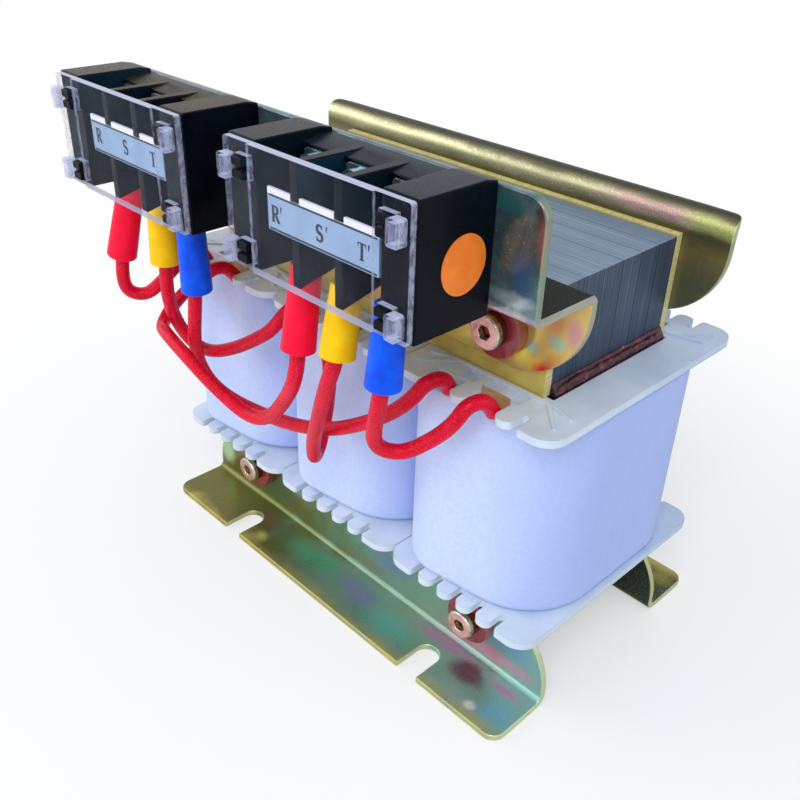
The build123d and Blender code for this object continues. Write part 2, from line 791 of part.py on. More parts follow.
def make_screws(centre_x):
    """Six slotted screws with square washers; the lower ones hold the lugs."""
    with BuildPart() as screws:
        for rise, stand in ((screw_low, lug_t), (screw_high, 0)):
            places = [(x, block_base + rise) for x in pole_centres(centre_x)]
            with BuildSketch(Plane.XZ.offset(bar_face + stand)):
                with Locations(*places):
                    RectangleRounded(square_washer, square_washer, square_washer_t / 2)
            extrude(amount=square_washer_t)
            with BuildSketch(Plane.XZ.offset(bar_face + stand + square_washer_t)):
                with Locations(*places):
                    Circle(screw_head_d / 2)
            extrude(amount=screw_head_h)
            with BuildSketch(Plane.XZ.offset(bar_face + stand)):
                with Locations(*places):
                    Circle(screw_d / 2)
            extrude(amount=-(bar_t + stand + screw_length))
            head = bar_face + stand + square_washer_t + screw_head_h
            with BuildSketch(Plane.XZ.offset(head)):
                with Locations(*places):
                    Rectangle(screw_head_d, screw_slot)
            extrude(amount=-screw_slot_depth, mode=Mode.SUBTRACT)
    return screws


for name, centre_x in block_centres.items():
    save(make_block(centre_x), "terminal_block_" + name)
    save(make_cover(centre_x), "terminal_cover_" + name)
    save(make_label(centre_x), "label_strip_" + name)
    save(make_bars(centre_x), "terminal_bars_" + name)
    save(make_screws(centre_x), "terminal_screws_" + name)

# Screws through the panel into the end walls of the blocks
with BuildPart() as block_fixing_screws:
    with BuildSketch(Plane.XZ.offset(panel_face - sheet_t)):
        with Locations(*fix_places):
            Circle(fix_head_d / 2)
    extrude(amount=-fix_head_h)
    with BuildSketch(Plane.XZ.offset(panel_face - sheet_t)):
        with Locations(*fix_places):
            Circle(screw_d / 2)
    extrude(amount=fix_length)
save(block_fixing_screws, "block_fixing_screws")

with BuildPart() as inspection_sticker:
    with BuildSketch(Plane.YZ.offset(block_centres["right"] + block_length / 2)):
        with Locations((-panel_face - sticker_reach, block_base + sticker_rise)):
            Circle(sticker_d / 2)
    extrude(amount=sticker_t)
save(inspection_sticker, "inspection_sticker")

# Leads. Each one leaves its lug inside a sleeve, hangs below the block and rises into a
# slot of a bobbin. sleeve_ends holds the middle of each sleeve's lower end, first_runs
# the straight length in line with the lug, and lead_runs the corners that follow it.
sleeve_ends = {
    "left_red": (-75.2, -76.0, 119.5),
    "left_yellow": (-52.7, -72.0, 123.0),
    "left_blue": (-36.6, -71.0, 118.1),
    "right_red": (22.1, -76.0, 121.6),
    "right_yellow": (38.9, -76.0, 126.3),
    "right_blue": (54.8, -74.0, 123.2),
}
first_runs = {
    "left_red": 10.5,
    "left_yellow": 12.3,
    "left_blue": 12.5,
    "right_red": 13.0,
    "right_yellow": 11.0,
    "right_blue": 9.6,
}
lead_runs = {
    "left_red": [
        (-76.6, -75.9, 115.4), (-78.9, -74.8, 105.7),
        (-77.9, -71.5, 102.4), (-75.3, -67.5, 102.4), (-71.4, -64.0, 107.5),
        (-71.0, -57.5, 111.8), (-71.3, -54.3, 116.2), (-71.4, -50.3, 117.1),
        (-71.5, -46.6, 115.3)],
    "left_yellow": [
        (-57.0, -70.6, 109.5), (-60.9, -66.5, 98.0),
        (-60.2, -63.2, 90.0), (-54.5, -61.4, 86.4), (-46.5, -60.0, 87.4),
        (-36.0, -58.0, 92.6), (-25.0, -56.8, 100.0), (-16.7, -56.4, 106.4),
        (-13.5, -52.5, 113.5), (-11.7, -49.0, 114.5), (-10.4, -45.6, 112.7)],
    "left_blue": [
        (-39.8, -70.6, 109.5), (-44.8, -69.0, 96.0),
        (-47.8, -66.4, 85.0), (-44.6, -63.6, 76.4), (-35.5, -61.2, 72.8),
        (-20.5, -59.8, 73.6), (-3.0, -59.6, 77.2), (14.5, -59.1, 83.6),
        (30.0, -58.0, 93.0), (41.8, -57.0, 102.4), (47.9, -55.9, 109.2),
        (49.9, -53.3, 113.8), (51.3, -49.3, 114.9), (51.5, -45.5, 112.8)],
    "right_red": [
        (19.6, -75.4, 110.6), (11.2, -72.8, 99.2), (0.4, -71.4, 86.3),
        (-10.9, -72.0, 81.9), (-25.8, -74.6, 88.1), (-37.8, -75.2, 92.8),
        (-49.9, -74.0, 94.8), (-58.4, -72.2, 94.9), (-65.7, -69.2, 93.3),
        (-68.5, -65.8, 94.7), (-68.9, -62.8, 97.7), (-64.0, -59.0, 104.9),
        (-56.7, -56.0, 111.5), (-54.6, -53.2, 114.8), (-53.7, -47.4, 114.3)],
    "right_yellow": [
        (33.2, -75.1, 114.3), (26.6, -72.1, 102.0), (20.2, -68.8, 91.0),
        (15.0, -65.8, 82.4), (10.3, -61.9, 71.9), (7.4, -58.0, 70.8), (5.4, -54.5, 73.6),
        (5.8, -52.4, 84.5), (7.6, -52.9, 93.0), (10.0, -54.2, 102.6), (10.2, -55.4, 109.2),
        (9.6, -53.9, 113.0), (8.4, -50.2, 114.6), (7.2, -46.5, 113.1)],
    "right_blue": [
        (52.9, -73.6, 117.0), (49.6, -71.9, 108.8), (46.3, -69.2, 99.2),
        (47.9, -65.2, 95.4), (51.8, -61.1, 95.3), (59.6, -57.6, 102.6), (64.2, -55.6, 108.8),
        (65.6, -53.2, 113.4), (67.0, -49.5, 114.6), (68.0, -45.9, 112.9)],
}
lead_slots = {
    "left_red": bobbin_centres["left"] + lead_slot_left,
    "left_yellow": bobbin_centres["middle"] + lead_slot_left,
    "left_blue": bobbin_centres["right"] + lead_slot_left,
    "right_red": bobbin_centres["left"] + lead_slot_right,
    "right_yellow": bobbin_centres["middle"] + lead_slot_right,
    "right_blue": bobbin_centres["right"] + lead_slot_right,
}
lead_end_z = coil_top + lead_rise


def lug_pivot(name):
    """The top of the barrel's axis, in front of the lower screw of the lead's pole."""
    side, colour = name.split("_")
    pole = ("red", "yellow", "blue").index(colour)
    return Vector(pole_centres(block_centres[side])[pole], -lug_axis_y, block_base + lug_pivot_rise)


def lug_axis(name):
    """Direction of the barrel and the sleeve, from the pivot to the sleeve's end."""
    return (Vector(*sleeve_ends[name]) - lug_pivot(name)).normalized()


def fillet_radii(points):
    """A radius for each corner, so that the arcs take up most of the shorter run."""
    radii = []
    for before, corner, after in zip(points, points[1:], points[2:]):
        run_in = corner - before
        run_out = after - corner
        half_turn = math.radians(run_in.get_angle(run_out)) / 2
        radii.append(arc_share * min(run_in.length, run_out.length) / math.tan(half_turn))
    return radii


def make_lead(name):
    """The braided lead from its lug to its slot."""
    start = lug_pivot(name) + lug_axis(name) * lug_reach
    end = Vector(lead_slots[name], lead_slot_y, lead_end_z)
    first = start + lug_axis(name) * first_runs[name]
    points = [start, first] + [Vector(*p) for p in lead_runs[name]] + [end]
    with BuildPart() as lead:
        with BuildLine() as path:
            FilletPolyline(*points, radius=fillet_radii(points))
        with BuildSketch(Plane(origin=path.line @ 0, z_dir=path.line % 0)):
            Circle(lead_d / 2)
        sweep()
    return lead


def make_sleeve(name):
    """The soft sleeve over the lug's barrel, wider at its lower end."""
    axis = lug_axis(name)
    top = Plane(origin=lug_pivot(name) + axis * sleeve_start, z_dir=axis)
    low = Plane(origin=Vector(*sleeve_ends[name]), z_dir=axis)
    with BuildPart() as sleeve:
        for top_d, end_d, mode in ((sleeve_top_d, sleeve_end_d, Mode.ADD),
                                   (sleeve_bore_top, sleeve_bore_end, Mode.SUBTRACT)):
            with BuildSketch(top):
                Circle(top_d / 2)
            with BuildSketch(low):
                Circle(end_d / 2)
            loft(mode=mode)
        rims = sleeve.edges().filter_by(GeomType.CIRCLE).sort_by(Axis.Z)[:2]
        fillet(rims, sleeve_rim_r)
    return sleeve


def make_lugs(side):
    """The three ring lugs of a block: ring, bent neck and barrel."""
    ring_z = block_base + screw_low
    with BuildPart() as lugs:
        for colour in ("red", "yellow", "blue"):
            name = side + "_" + colour
            pivot = lug_pivot(name)
            axis = lug_axis(name)
            with BuildSketch(Plane.YZ.offset(pivot.X - lug_neck / 2)):
                with BuildLine():
                    Polyline((-bar_face, ring_z), (-bar_face, pivot.Z + lug_shoulder[0]),
                             *[(pivot.Y - reach, pivot.Z + rise) for reach, rise in lug_bend],
                             (-bar_face - lug_t, pivot.Z + lug_shoulder[1]),
                             (-bar_face - lug_t, ring_z), close=True)
                make_face()
            extrude(amount=lug_neck)
            with BuildSketch(Plane(origin=pivot + axis * sleeve_start, z_dir=axis)):
                Circle(lug_barrel_d / 2)
            extrude(amount=lug_reach - sleeve_start)
            with BuildSketch(Plane.XZ.offset(bar_face)):
                with Locations((pivot.X, ring_z)):
                    Circle(lug_ring_d / 2)
            extrude(amount=lug_t)
            with BuildSketch(Plane.XZ.offset(bar_face)):
                with Locations((pivot.X, ring_z)):
                    Circle(screw_d / 2)
            extrude(amount=lug_t, mode=Mode.SUBTRACT)
    return lugs


for name in sleeve_ends:
    save(make_lead(name), "lead_" + name)
    save(make_sleeve(name), "sleeve_" + name)
for side in block_centres:
    save(make_lugs(side), "ring_lugs_" + side)

# Kraft paper standing in one lead slot of each bobbin
with BuildPart() as slot_papers:
    with BuildSketch(Plane.XY.offset(coil_top)):
        paper_y = -bobbin_depth / 2 + lead_slot_depth - paper_t / 2
        for centre_x in bobbin_centres.values():
            with Locations((centre_x + finger_pitch / 2, paper_y)):
                Rectangle(finger_pitch + finger_slot - 2 * paper_play, paper_t)
    extrude(amount=paper_height)
save(slot_papers, "slot_papers")
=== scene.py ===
import math
import bmesh
import bpy
from mathutils import Matrix, Vector, noise


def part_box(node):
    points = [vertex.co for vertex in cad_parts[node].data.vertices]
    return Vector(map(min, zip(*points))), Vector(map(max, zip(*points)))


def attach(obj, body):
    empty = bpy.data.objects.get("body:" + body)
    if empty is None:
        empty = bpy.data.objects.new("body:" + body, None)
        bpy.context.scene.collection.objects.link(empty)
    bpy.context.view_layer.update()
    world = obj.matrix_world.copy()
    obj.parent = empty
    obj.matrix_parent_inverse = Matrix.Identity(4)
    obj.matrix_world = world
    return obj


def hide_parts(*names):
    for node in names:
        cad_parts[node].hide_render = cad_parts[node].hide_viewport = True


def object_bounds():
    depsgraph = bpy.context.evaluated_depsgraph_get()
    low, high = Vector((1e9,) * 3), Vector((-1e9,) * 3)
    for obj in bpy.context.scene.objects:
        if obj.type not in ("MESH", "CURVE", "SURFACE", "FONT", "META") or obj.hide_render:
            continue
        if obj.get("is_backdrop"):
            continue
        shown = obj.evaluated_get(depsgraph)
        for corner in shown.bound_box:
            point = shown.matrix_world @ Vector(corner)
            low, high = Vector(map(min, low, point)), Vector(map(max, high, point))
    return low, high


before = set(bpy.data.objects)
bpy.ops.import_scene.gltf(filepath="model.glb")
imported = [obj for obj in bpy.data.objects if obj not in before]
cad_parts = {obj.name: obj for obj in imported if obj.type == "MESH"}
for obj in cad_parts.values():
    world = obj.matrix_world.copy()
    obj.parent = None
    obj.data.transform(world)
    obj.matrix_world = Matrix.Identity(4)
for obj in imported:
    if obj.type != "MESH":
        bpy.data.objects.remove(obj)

SIZE = {"cad": [list(corner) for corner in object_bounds()]}

# Camera, from the calibration of the photograph. Its lengths are in units of UNIT metres.
AZIMUTH, ELEVATION, ROLL = math.radians(44.934), math.radians(31.329), math.radians(1.911)
UNIT = 0.00091
SHIFT_X, SHIFT_Y, DISTANCE, AIM_Z = 9.984, 3.633, 375.615, 75.0
FOCUS_PIXELS, PHOTO_WIDTH = 908.056, 800
SENSOR = 36
CLIP_START, CLIP_END = 0.01, 50

# Studio: lamps as name, place, size and power; colour and strength of the soft light
LAMPS = [
    ("key", (0.5, -0.75, 0.95), 0.6, 6.5),
    ("fill", (-0.9, -0.55, 0.6), 0.8, 4.0),
    ("low", (-0.3, -1.1, 0.12), 0.6, 2.2),
    ("side", (1.0, 0.35, 0.55), 0.6, 1.0),
]
LAMP_AIM = Vector((0, 0, 0.09))
SKY_COLOUR = (0.87, 0.94, 1.0, 1)
SKY_STRENGTH = 0.55
FLOOR_RADIUS = 2.5
FLOOR_SIDES = 64
FLOOR_FADE = (110, 330)
FLOOR_GLOW = (0.45, 1.0)

# Leads: the points in millimetres, from the lug to the slot of the bobbin
LEAD_D = 0.0047
LEADS = {
    "left_red": [
        (-70.9, -73.5, 137.4), (-73.3, -74.9, 127.3), (-76.6, -75.9, 115.4),
        (-78.9, -74.8, 105.7), (-77.9, -71.5, 102.4), (-75.3, -67.5, 102.4),
        (-71.4, -64.0, 107.5), (-71.0, -57.5, 111.8), (-71.3, -54.3, 116.2),
        (-71.4, -50.3, 117.1), (-71.5, -46.6, 115.3), (-71.4, -43.7, 108.9)],
    "left_yellow": [
        (-52.3, -72.0, 137.0), (-52.6, -72.0, 124.7), (-57.0, -70.6, 109.5),
        (-60.9, -66.5, 98.0), (-60.2, -63.2, 90.0), (-54.5, -61.4, 86.4),
        (-46.5, -60.0, 87.4), (-36.0, -58.0, 92.6), (-25.0, -56.8, 100.0),
        (-16.7, -56.4, 106.4), (-13.5, -52.5, 113.5), (-11.7, -49.0, 114.5),
        (-10.4, -45.6, 112.7), (-10.2, -43.7, 108.9)],
    "left_blue": [
        (-35.9, -71.6, 137.0), (-36.3, -71.2, 124.5), (-39.8, -70.6, 109.5),
        (-44.8, -69.0, 96.0), (-47.8, -66.4, 85.0), (-44.6, -63.6, 76.4),
        (-35.5, -61.2, 72.8), (-20.5, -59.8, 73.6), (-3.0, -59.6, 77.2),
        (14.5, -59.1, 83.6), (30.0, -58.0, 93.0), (41.8, -57.0, 102.4),
        (47.9, -55.9, 109.2), (49.9, -53.3, 113.8), (51.3, -49.3, 114.9),
        (51.5, -45.5, 112.8), (51.0, -43.7, 108.9)],
    "right_red": [
        (22.2, -73.6, 137.1), (22.1, -75.6, 124.3), (19.6, -75.4, 110.6),
        (11.2, -72.8, 99.2), (0.4, -71.4, 86.3), (-10.9, -72.0, 81.9),
        (-25.8, -74.6, 88.1), (-37.8, -75.2, 92.8), (-49.9, -74.0, 94.8),
        (-58.4, -72.2, 94.9), (-65.7, -69.2, 93.3), (-68.5, -65.8, 94.7),
        (-68.9, -62.8, 97.7), (-64.0, -59.0, 104.9), (-56.7, -56.0, 111.5),
        (-54.6, -53.2, 114.8), (-53.7, -47.4, 114.3), (-54.4, -43.7, 108.9)],
    "right_yellow": [
        (38.8, -74.0, 137.2), (38.9, -76.0, 126.4), (33.2, -75.1, 114.3),
        (26.6, -72.1, 102.0), (20.2, -68.8, 91.0), (15.0, -65.8, 82.4),
        (10.3, -61.9, 71.9), (7.4, -58.0, 70.8), (5.4, -54.5, 73.6),
        (5.8, -52.4, 84.5), (7.6, -52.9, 93.0), (10.0, -54.2, 102.6),
        (10.2, -55.4, 109.2), (9.6, -53.9, 113.0), (8.4, -50.2, 114.6),
        (7.2, -46.5, 113.1), (6.8, -43.7, 108.9)],
    "right_blue": [
        (55.1, -72.9, 137.0), (54.9, -73.7, 127.5), (52.9, -73.6, 117.0),
        (49.6, -71.9, 108.8), (46.3, -69.2, 99.2), (47.9, -65.2, 95.4),
        (51.8, -61.1, 95.3), (59.6, -57.6, 102.6), (64.2, -55.6, 108.8),
        (65.6, -53.2, 113.4), (67.0, -49.5, 114.6), (68.0, -45.9, 112.9),
        (68.0, -43.7, 108.9)],
}

# Braid of the leads: strands each way round, their crossing along the lead, ring spacing
STRANDS = 11
CROSSING = 0.0016
RING_STEP = 0.00027
RING_POINTS = 66
BRAID_RELIEF = 0.00016

# Label strips: face of the labels, middle height and cap height of the letters, in metres
LABEL_FACE = -0.0821
LETTER_Z = 0.1628
LETTER_HEIGHT = 0.0043
LETTER_RISE = 0.00006
LETTERS = {
    "left": [("R", -0.0671, 0.0007), ("S", -0.0508, 0.0005), ("T", -0.0355, 0.0004)],
    "right": [("R'", 0.0226, 0.0), ("S'", 0.0402, 0.0), ("T'", 0.0552, 0.0)],
}
LINE_Z = (0.1587, 0.1675)
LINE_WIDTH = 0.0005
LINE_MARGIN = 0.0006


def add_object(name, data):
    """An object of the scene that holds some data."""
    thing = bpy.data.objects.new(name, data)
    bpy.context.scene.collection.objects.link(thing)
    return thing


def make_camera():
    back = Vector((math.sin(AZIMUTH) * math.cos(ELEVATION),
                   -math.cos(AZIMUTH) * math.cos(ELEVATION), math.sin(ELEVATION)))
    right = Vector((math.cos(AZIMUTH), math.sin(AZIMUTH), 0.0))
    up = back.cross(right)
    c, s = math.cos(ROLL), math.sin(ROLL)
    x_axis = right * c + up * s
    y_axis = up * c - right * s
    place = (x_axis * -SHIFT_X + y_axis * -SHIFT_Y + back * DISTANCE
             + Vector((0, 0, AIM_Z))) * UNIT
    data = bpy.data.cameras.new("camera")
    data.sensor_width = SENSOR
    data.lens = FOCUS_PIXELS / PHOTO_WIDTH * SENSOR
    data.clip_start = CLIP_START
    data.clip_end = CLIP_END
    camera = add_object("camera", data)
    rotation = Matrix((x_axis, y_axis, back)).transposed()
    camera.matrix_world = Matrix.Translation(place) @ rotation.to_4x4()
    bpy.context.scene.camera = camera


make_camera()


def srgb(red, green, blue):
    """A colour as it looks, each part from 0 to 255, for a shader."""
    return tuple(((v / 255 + 0.055) / 1.055) ** 2.4 for v in (red, green, blue)) + (1.0,)


class Finish:
    """A material in the making. Its places are in millimetres of the shared frame."""

    def __init__(self, name):
        self.material = bpy.data.materials.new(name)
        self.material.use_nodes = True
        self.tree = self.material.node_tree
        self.shader = self.tree.nodes["Principled BSDF"]
        coordinates = self.node("TexCoord").outputs["Object"]
        self.place = self.vector("SCALE", coordinates, scale=1000)

    def node(self, kind, **settings):
        node = self.tree.nodes.new("ShaderNode" + kind)
        for key, value in settings.items():
            setattr(node, key, value)
        return node

    def feed(self, socket, value):
        if isinstance(value, bpy.types.NodeSocket):
            self.tree.links.new(value, socket)
        else:
            socket.default_value = value

    def vector(self, operation, a, b=None, scale=None):
        node = self.node("VectorMath", operation=operation)
        self.feed(node.inputs[0], a)
        if b is not None:
            self.feed(node.inputs[1], b)
        if scale is not None:
            self.feed(node.inputs["Scale"], scale)
        return node.outputs["Vector"]

    def sum(self, operation, *values):
        node = self.node("Math", operation=operation)
        for socket, value in zip(node.inputs, values):
            self.feed(socket, value)
        return node.outputs[0]

    def part(self, axis, vector=None):
        """One part of a vector, or of the place."""
        node = self.node("SeparateXYZ")
        self.feed(node.inputs[0], self.place if vector is None else vector)
        return node.outputs[axis]

    def facing(self, axis):
        """The surface normal along an axis, from -1 to 1."""
        return self.part(axis, self.node("NewGeometry").outputs["Normal"])

    def noise(self, size, detail=3.0, rough=0.5, twist=0.0, shift=0.0):
        """Cloudy values with features of a size in millimetres, one number or three."""
        sizes = size if isinstance(size, tuple) else (size, size, size)
        place = self.vector("MULTIPLY", self.place, tuple(1 / v for v in sizes))
        if shift:
            place = self.vector("ADD", place, (shift, shift * 0.7, shift * 1.3))
        node = self.node("TexNoise")
        self.feed(node.inputs["Vector"], place)
        self.feed(node.inputs["Scale"], 1.0)
        self.feed(node.inputs["Detail"], detail)
        self.feed(node.inputs["Roughness"], rough)
        self.feed(node.inputs["Distortion"], twist)
        return node.outputs[0]

    def span(self, value, low, high, to_low=0.0, to_high=1.0, smooth=False):
        """The value moved from one range to another, and kept inside it."""
        node = self.node("MapRange", clamp=True)
        if smooth:
            node.interpolation_type = "SMOOTHSTEP"
        for socket, number in zip(node.inputs, (value, low, high, to_low, to_high)):
            self.feed(socket, number)
        return node.outputs[0]

    def ramp(self, value, stops):
        """Colours along a value; stops are (place, colour)."""
        node = self.node("ValToRGB")
        band = node.color_ramp
        while len(band.elements) < len(stops):
            band.elements.new(0.5)
        for element, (place, colour) in zip(band.elements, stops):
            element.position = place
            element.color = colour
        self.feed(node.inputs[0], value)
        return node.outputs["Color"]

    def mix(self, factor, a, b):
        """Colour a where the factor is 0 and b where it is 1."""
        node = self.node("Mix", data_type="RGBA")
        self.feed(node.inputs[0], factor)
        self.feed(node.inputs[6], a)
        self.feed(node.inputs[7], b)
        return node.outputs[2]

    def length(self, vector):
        node = self.node("VectorMath", operation="LENGTH")
        self.feed(node.inputs[0], vector)
        return node.outputs["Value"]

    def both(self, a, b):
        """The product of two shares."""
        return self.sum("MULTIPLY", a, b)

    def colour_patch(self, colour, tint, centre, reach, share, wander):
        """A soft patch of another colour round a place, with an uneven outline."""
        offset = self.vector("SUBTRACT", self.place, centre)
        away = self.length(self.vector("DIVIDE", offset, reach))
        away = self.sum("ADD", away, wander)
        return self.mix(self.span(away, 1.0, 0.25, 0.0, share, smooth=True), colour, tint)

    def bump(self, height, depth, strength=1.0):
        """A normal from a height; depth is in millimetres."""
        node = self.node("Bump")
        self.feed(node.inputs["Strength"], strength)
        self.feed(node.inputs["Distance"], depth / 1000)
        self.feed(node.inputs["Height"], height)
        return node.outputs[0]

    def soft_edges(self, radius, normal):
        """A normal that turns over sharp edges; radius is in millimetres."""
        node = self.node("Bevel", samples=4)
        self.feed(node.inputs["Radius"], radius / 1000)
        self.feed(node.inputs["Normal"], normal)
        return node.outputs[0]

    def done(self, **sockets):
        """Set the shader's sockets by their names, with underscores for spaces."""
        for name, value in sockets.items():
            socket = name.replace("_", " ").title().replace("Ior", "IOR")
            self.feed(self.shader.inputs[socket], value)
        return self.material


# Rounded pieces by the name of the CAD node that each one replaces
PIECES = {}


def dress(material, *nodes):
    """Give CAD nodes, or the rounded pieces in their place, a material of the scene."""
    for name in nodes:
        if name in PIECES:
            PIECES[name].data.materials.append(material)
            continue
        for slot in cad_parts[name].material_slots:
            slot.material = material


def make_world():
    """Soft light from all round, and white where the camera or gloss sees the background."""
    world = bpy.data.worlds.new("studio")
    bpy.context.scene.world = world
    world.use_nodes = True
    nodes, links = world.node_tree.nodes, world.node_tree.links
    nodes.clear()
    out = nodes.new("ShaderNodeOutputWorld")
    mix = nodes.new("ShaderNodeMixShader")
    soft = nodes.new("ShaderNodeBackground")
    seen = nodes.new("ShaderNodeBackground")
    path = nodes.new("ShaderNodeLightPath")
    either = nodes.new("ShaderNodeMath")
    any_of = nodes.new("ShaderNodeMath")
    either.operation = any_of.operation = "MAXIMUM"
    links.new(path.outputs["Is Camera Ray"], either.inputs[0])
    links.new(path.outputs["Is Glossy Ray"], either.inputs[1])
    links.new(either.outputs[0], any_of.inputs[0])
    links.new(path.outputs["Is Transmission Ray"], any_of.inputs[1])
    soft.inputs["Color"].default_value = SKY_COLOUR
    soft.inputs["Strength"].default_value = SKY_STRENGTH
    seen.inputs["Color"].default_value = (1, 1, 1, 1)
    seen.inputs["Strength"].default_value = 1.0
    links.new(any_of.outputs[0], mix.inputs[0])
    links.new(soft.outputs[0], mix.inputs[1])
    links.new(seen.outputs[0], mix.inputs[2])
    links.new(mix.outputs[0], out.inputs["Surface"])
    bpy.context.scene.view_settings.view_transform = "Standard"


def make_lamps():
    for name, place, size, power in LAMPS:
        data = bpy.data.lights.new(name, "AREA")
        data.shape = "SQUARE"
        data.size = size
        data.energy = power
        lamp = add_object(name, data)
        lamp.location = place
        aim = LAMP_AIM - Vector(place)
        lamp.rotation_euler = aim.to_track_quat("-Z", "Y").to_euler()


def make_floor():
    """A pale round floor that turns to plain white away from the object."""
    ring = [(math.cos(a) * FLOOR_RADIUS, math.sin(a) * FLOOR_RADIUS, 0.0)
            for a in [math.tau * i / FLOOR_SIDES for i in range(FLOOR_SIDES)]]
    mesh = bpy.data.meshes.new("floor")
    mesh.from_pydata(ring, [], [list(range(FLOOR_SIDES))])
    floor = add_object("floor", mesh)
    finish = Finish("floor")
    away = finish.span(finish.length(finish.place), *FLOOR_FADE, smooth=True)
    path = finish.node("LightPath")
    pale = finish.span(away, 0.0, 1.0, *FLOOR_GLOW)
    shown = finish.both(pale, path.outputs["Is Camera Ray"])
    glow = finish.node("Emission")
    blend = finish.node("MixShader")
    finish.done(base_color=srgb(252, 252, 252), roughness=0.9, specular_ior_level=0.1)
    finish.feed(blend.inputs[0], shown)
    finish.feed(blend.inputs[1], finish.shader.outputs[0])
    finish.feed(blend.inputs[2], glow.outputs[0])
    finish.feed(finish.tree.nodes["Material Output"].inputs["Surface"], blend.outputs[0])
    mesh.materials.append(finish.material)
    floor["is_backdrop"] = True


make_world()
make_lamps()
make_floor()


def tube_faces(rings, around):
    """Faces of a closed tube from rings of points, with an end face at each end."""
    faces = []
    for i in range(rings - 1):
        for j in range(around):
            a, b = i * around + j, i * around + (j + 1) % around
            faces.append((a, b, b + around, a + around))
    last = (rings - 1) * around
    faces.append(tuple(reversed(range(around))))
    faces.append(tuple(range(last, last + around)))
    return faces


def add_smooth(name, vertices, faces, material):
    """A smooth-shaded piece of the scene."""
    mesh = bpy.data.meshes.new(name)
    mesh.from_pydata(vertices, [], faces)
    mesh.polygons.foreach_set("use_smooth", [True] * len(mesh.polygons))
    mesh.materials.append(material)
    return add_object(name, mesh)


# Leads: each a tube of crossing strands along the route's own spline
def braid_finish():
    finish = Finish("lead_braid")
    braid_dots_and_glints = finish.noise(0.45, detail=1.0)
    tone = finish.noise(6.0, detail=2.0, shift=3.1)
    colour = finish.mix(finish.span(tone, 0.3, 0.7), srgb(202, 0, 36), srgb(224, 4, 52))
    # Painted highlight: pale pink glints on the braid's dots, over its red.
    colour = finish.mix(finish.span(braid_dots_and_glints, 0.62, 0.76, 0.0, 0.6), colour, srgb(255, 92, 104))
    return finish.done(base_color=colour, roughness=finish.span(braid_dots_and_glints, 0.3, 0.7, 0.22, 0.42),
                       normal=finish.bump(braid_dots_and_glints, 0.03, 0.3), specular_ior_level=0.15)


def centreline(name, points):
    """The places along the route's own spline, in metres."""
    curve = bpy.data.curves.new(name, "CURVE")
    curve.dimensions = "3D"
    curve.resolution_u = 16
    spline = curve.splines.new("NURBS")
    spline.points.add(len(points) - 1)
    for point, place in zip(spline.points, points):
        point.co = (place[0] / 1000, place[1] / 1000, place[2] / 1000, 1)
    spline.order_u = 3
    spline.use_endpoint_u = True
    route = bpy.data.objects.new(name, curve)
    mesh = bpy.data.meshes.new_from_object(route)
    line = [vertex.co.copy() for vertex in mesh.vertices]
    bpy.data.objects.remove(route)
    bpy.data.meshes.remove(mesh)
    return line


def evenly(line, step):
    """Places at an even spacing along a line, and its length."""
    reach = [0.0]
    for a, b in zip(line, line[1:]):
        reach.append(reach[-1] + (b - a).length)
    count = round(reach[-1] / step)
    places, segment = [], 0
    for i in range(count + 1):
        goal = reach[-1] * i / count
        while segment < len(line) - 2 and reach[segment + 1] < goal:
            segment += 1
        share = (goal - reach[segment]) / (reach[segment + 1] - reach[segment])
        places.append(line[segment].lerp(line[segment + 1], share))
    return places, reach[-1]


def strand_height(turn, run):
    """How far a strand stands out at a turn round the lead and a run along it, 0 to 1."""
    across = STRANDS * turn + run
    along = STRANDS * turn - run
    over = (math.floor(across) + math.floor(along)) % 2 == 0
    top, other = (across, along) if over else (along, across)
    return math.sin(math.pi * (top % 1.0)) ** 0.5 * (0.6 + 0.4 * math.sin(math.pi * (other % 1.0)))


def make_lead(name, points, material):
    line = centreline("route_" + name, points)
    places, length = evenly(line, RING_STEP)
    inner = LEAD_D / 2 - BRAID_RELIEF
    vertices = []
    side = (places[1] - places[0]).orthogonal().normalized()
    for i, place in enumerate(places):
        ahead = places[min(i + 1, len(places) - 1)] - places[max(i - 1, 0)]
        ahead.normalize()
        side = (side - ahead * side.dot(ahead)).normalized()
        other = ahead.cross(side)
        run = length * i / (len(places) - 1) / CROSSING
        for j in range(RING_POINTS):
            turn = j / RING_POINTS
            radius = inner + BRAID_RELIEF * strand_height(turn, run)
            angle = math.tau * turn
            vertices.append(place + (side * math.cos(angle) + other * math.sin(angle)) * radius)
    lead = add_smooth("braid_" + name, vertices, tube_faces(len(places), RING_POINTS), material)
    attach(lead, "root")
    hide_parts("lead_" + name)
    SIZE.setdefault("lead_lengths", {})[name] = length


def make_leads():
    material = braid_finish()
    for name, points in LEADS.items():
        make_lead(name, points, material)


make_leads()


# Pieces whose sharp edges are rounded, and how wide, in metres
ROUNDED = {
    "foot_bracket_front": 0.00055, "foot_bracket_rear": 0.00055,
    "terminal_bracket": 0.00055, "top_bracket_rear": 0.00045,
    "terminal_block_left": 0.00045, "terminal_block_right": 0.00045,
    "insulating_washers": 0.0004, "clamp_bolts": 0.0003,
}
SHARP = math.radians(40)
FLAT = math.radians(0.5)
WELD = 1e-6
ROUND_STEPS = 3
WIDE_ENOUGH = 2.2


def reach_across(face, edge):
    """How far a face goes from one of its edges."""
    start, end = (vertex.co for vertex in edge.verts)
    along = (end - start).normalized()
    return max((vertex.co - start - along * (vertex.co - start).dot(along)).length
               for vertex in face.verts)


def may_round(edge, width):
    """Whether an outer edge is sharp, and its faces are wide enough to round it."""
    if not edge.is_manifold or not edge.is_convex or edge.calc_face_angle() < SHARP:
        return False
    return min(reach_across(face, edge) for face in edge.link_faces) > WIDE_ENOUGH * width


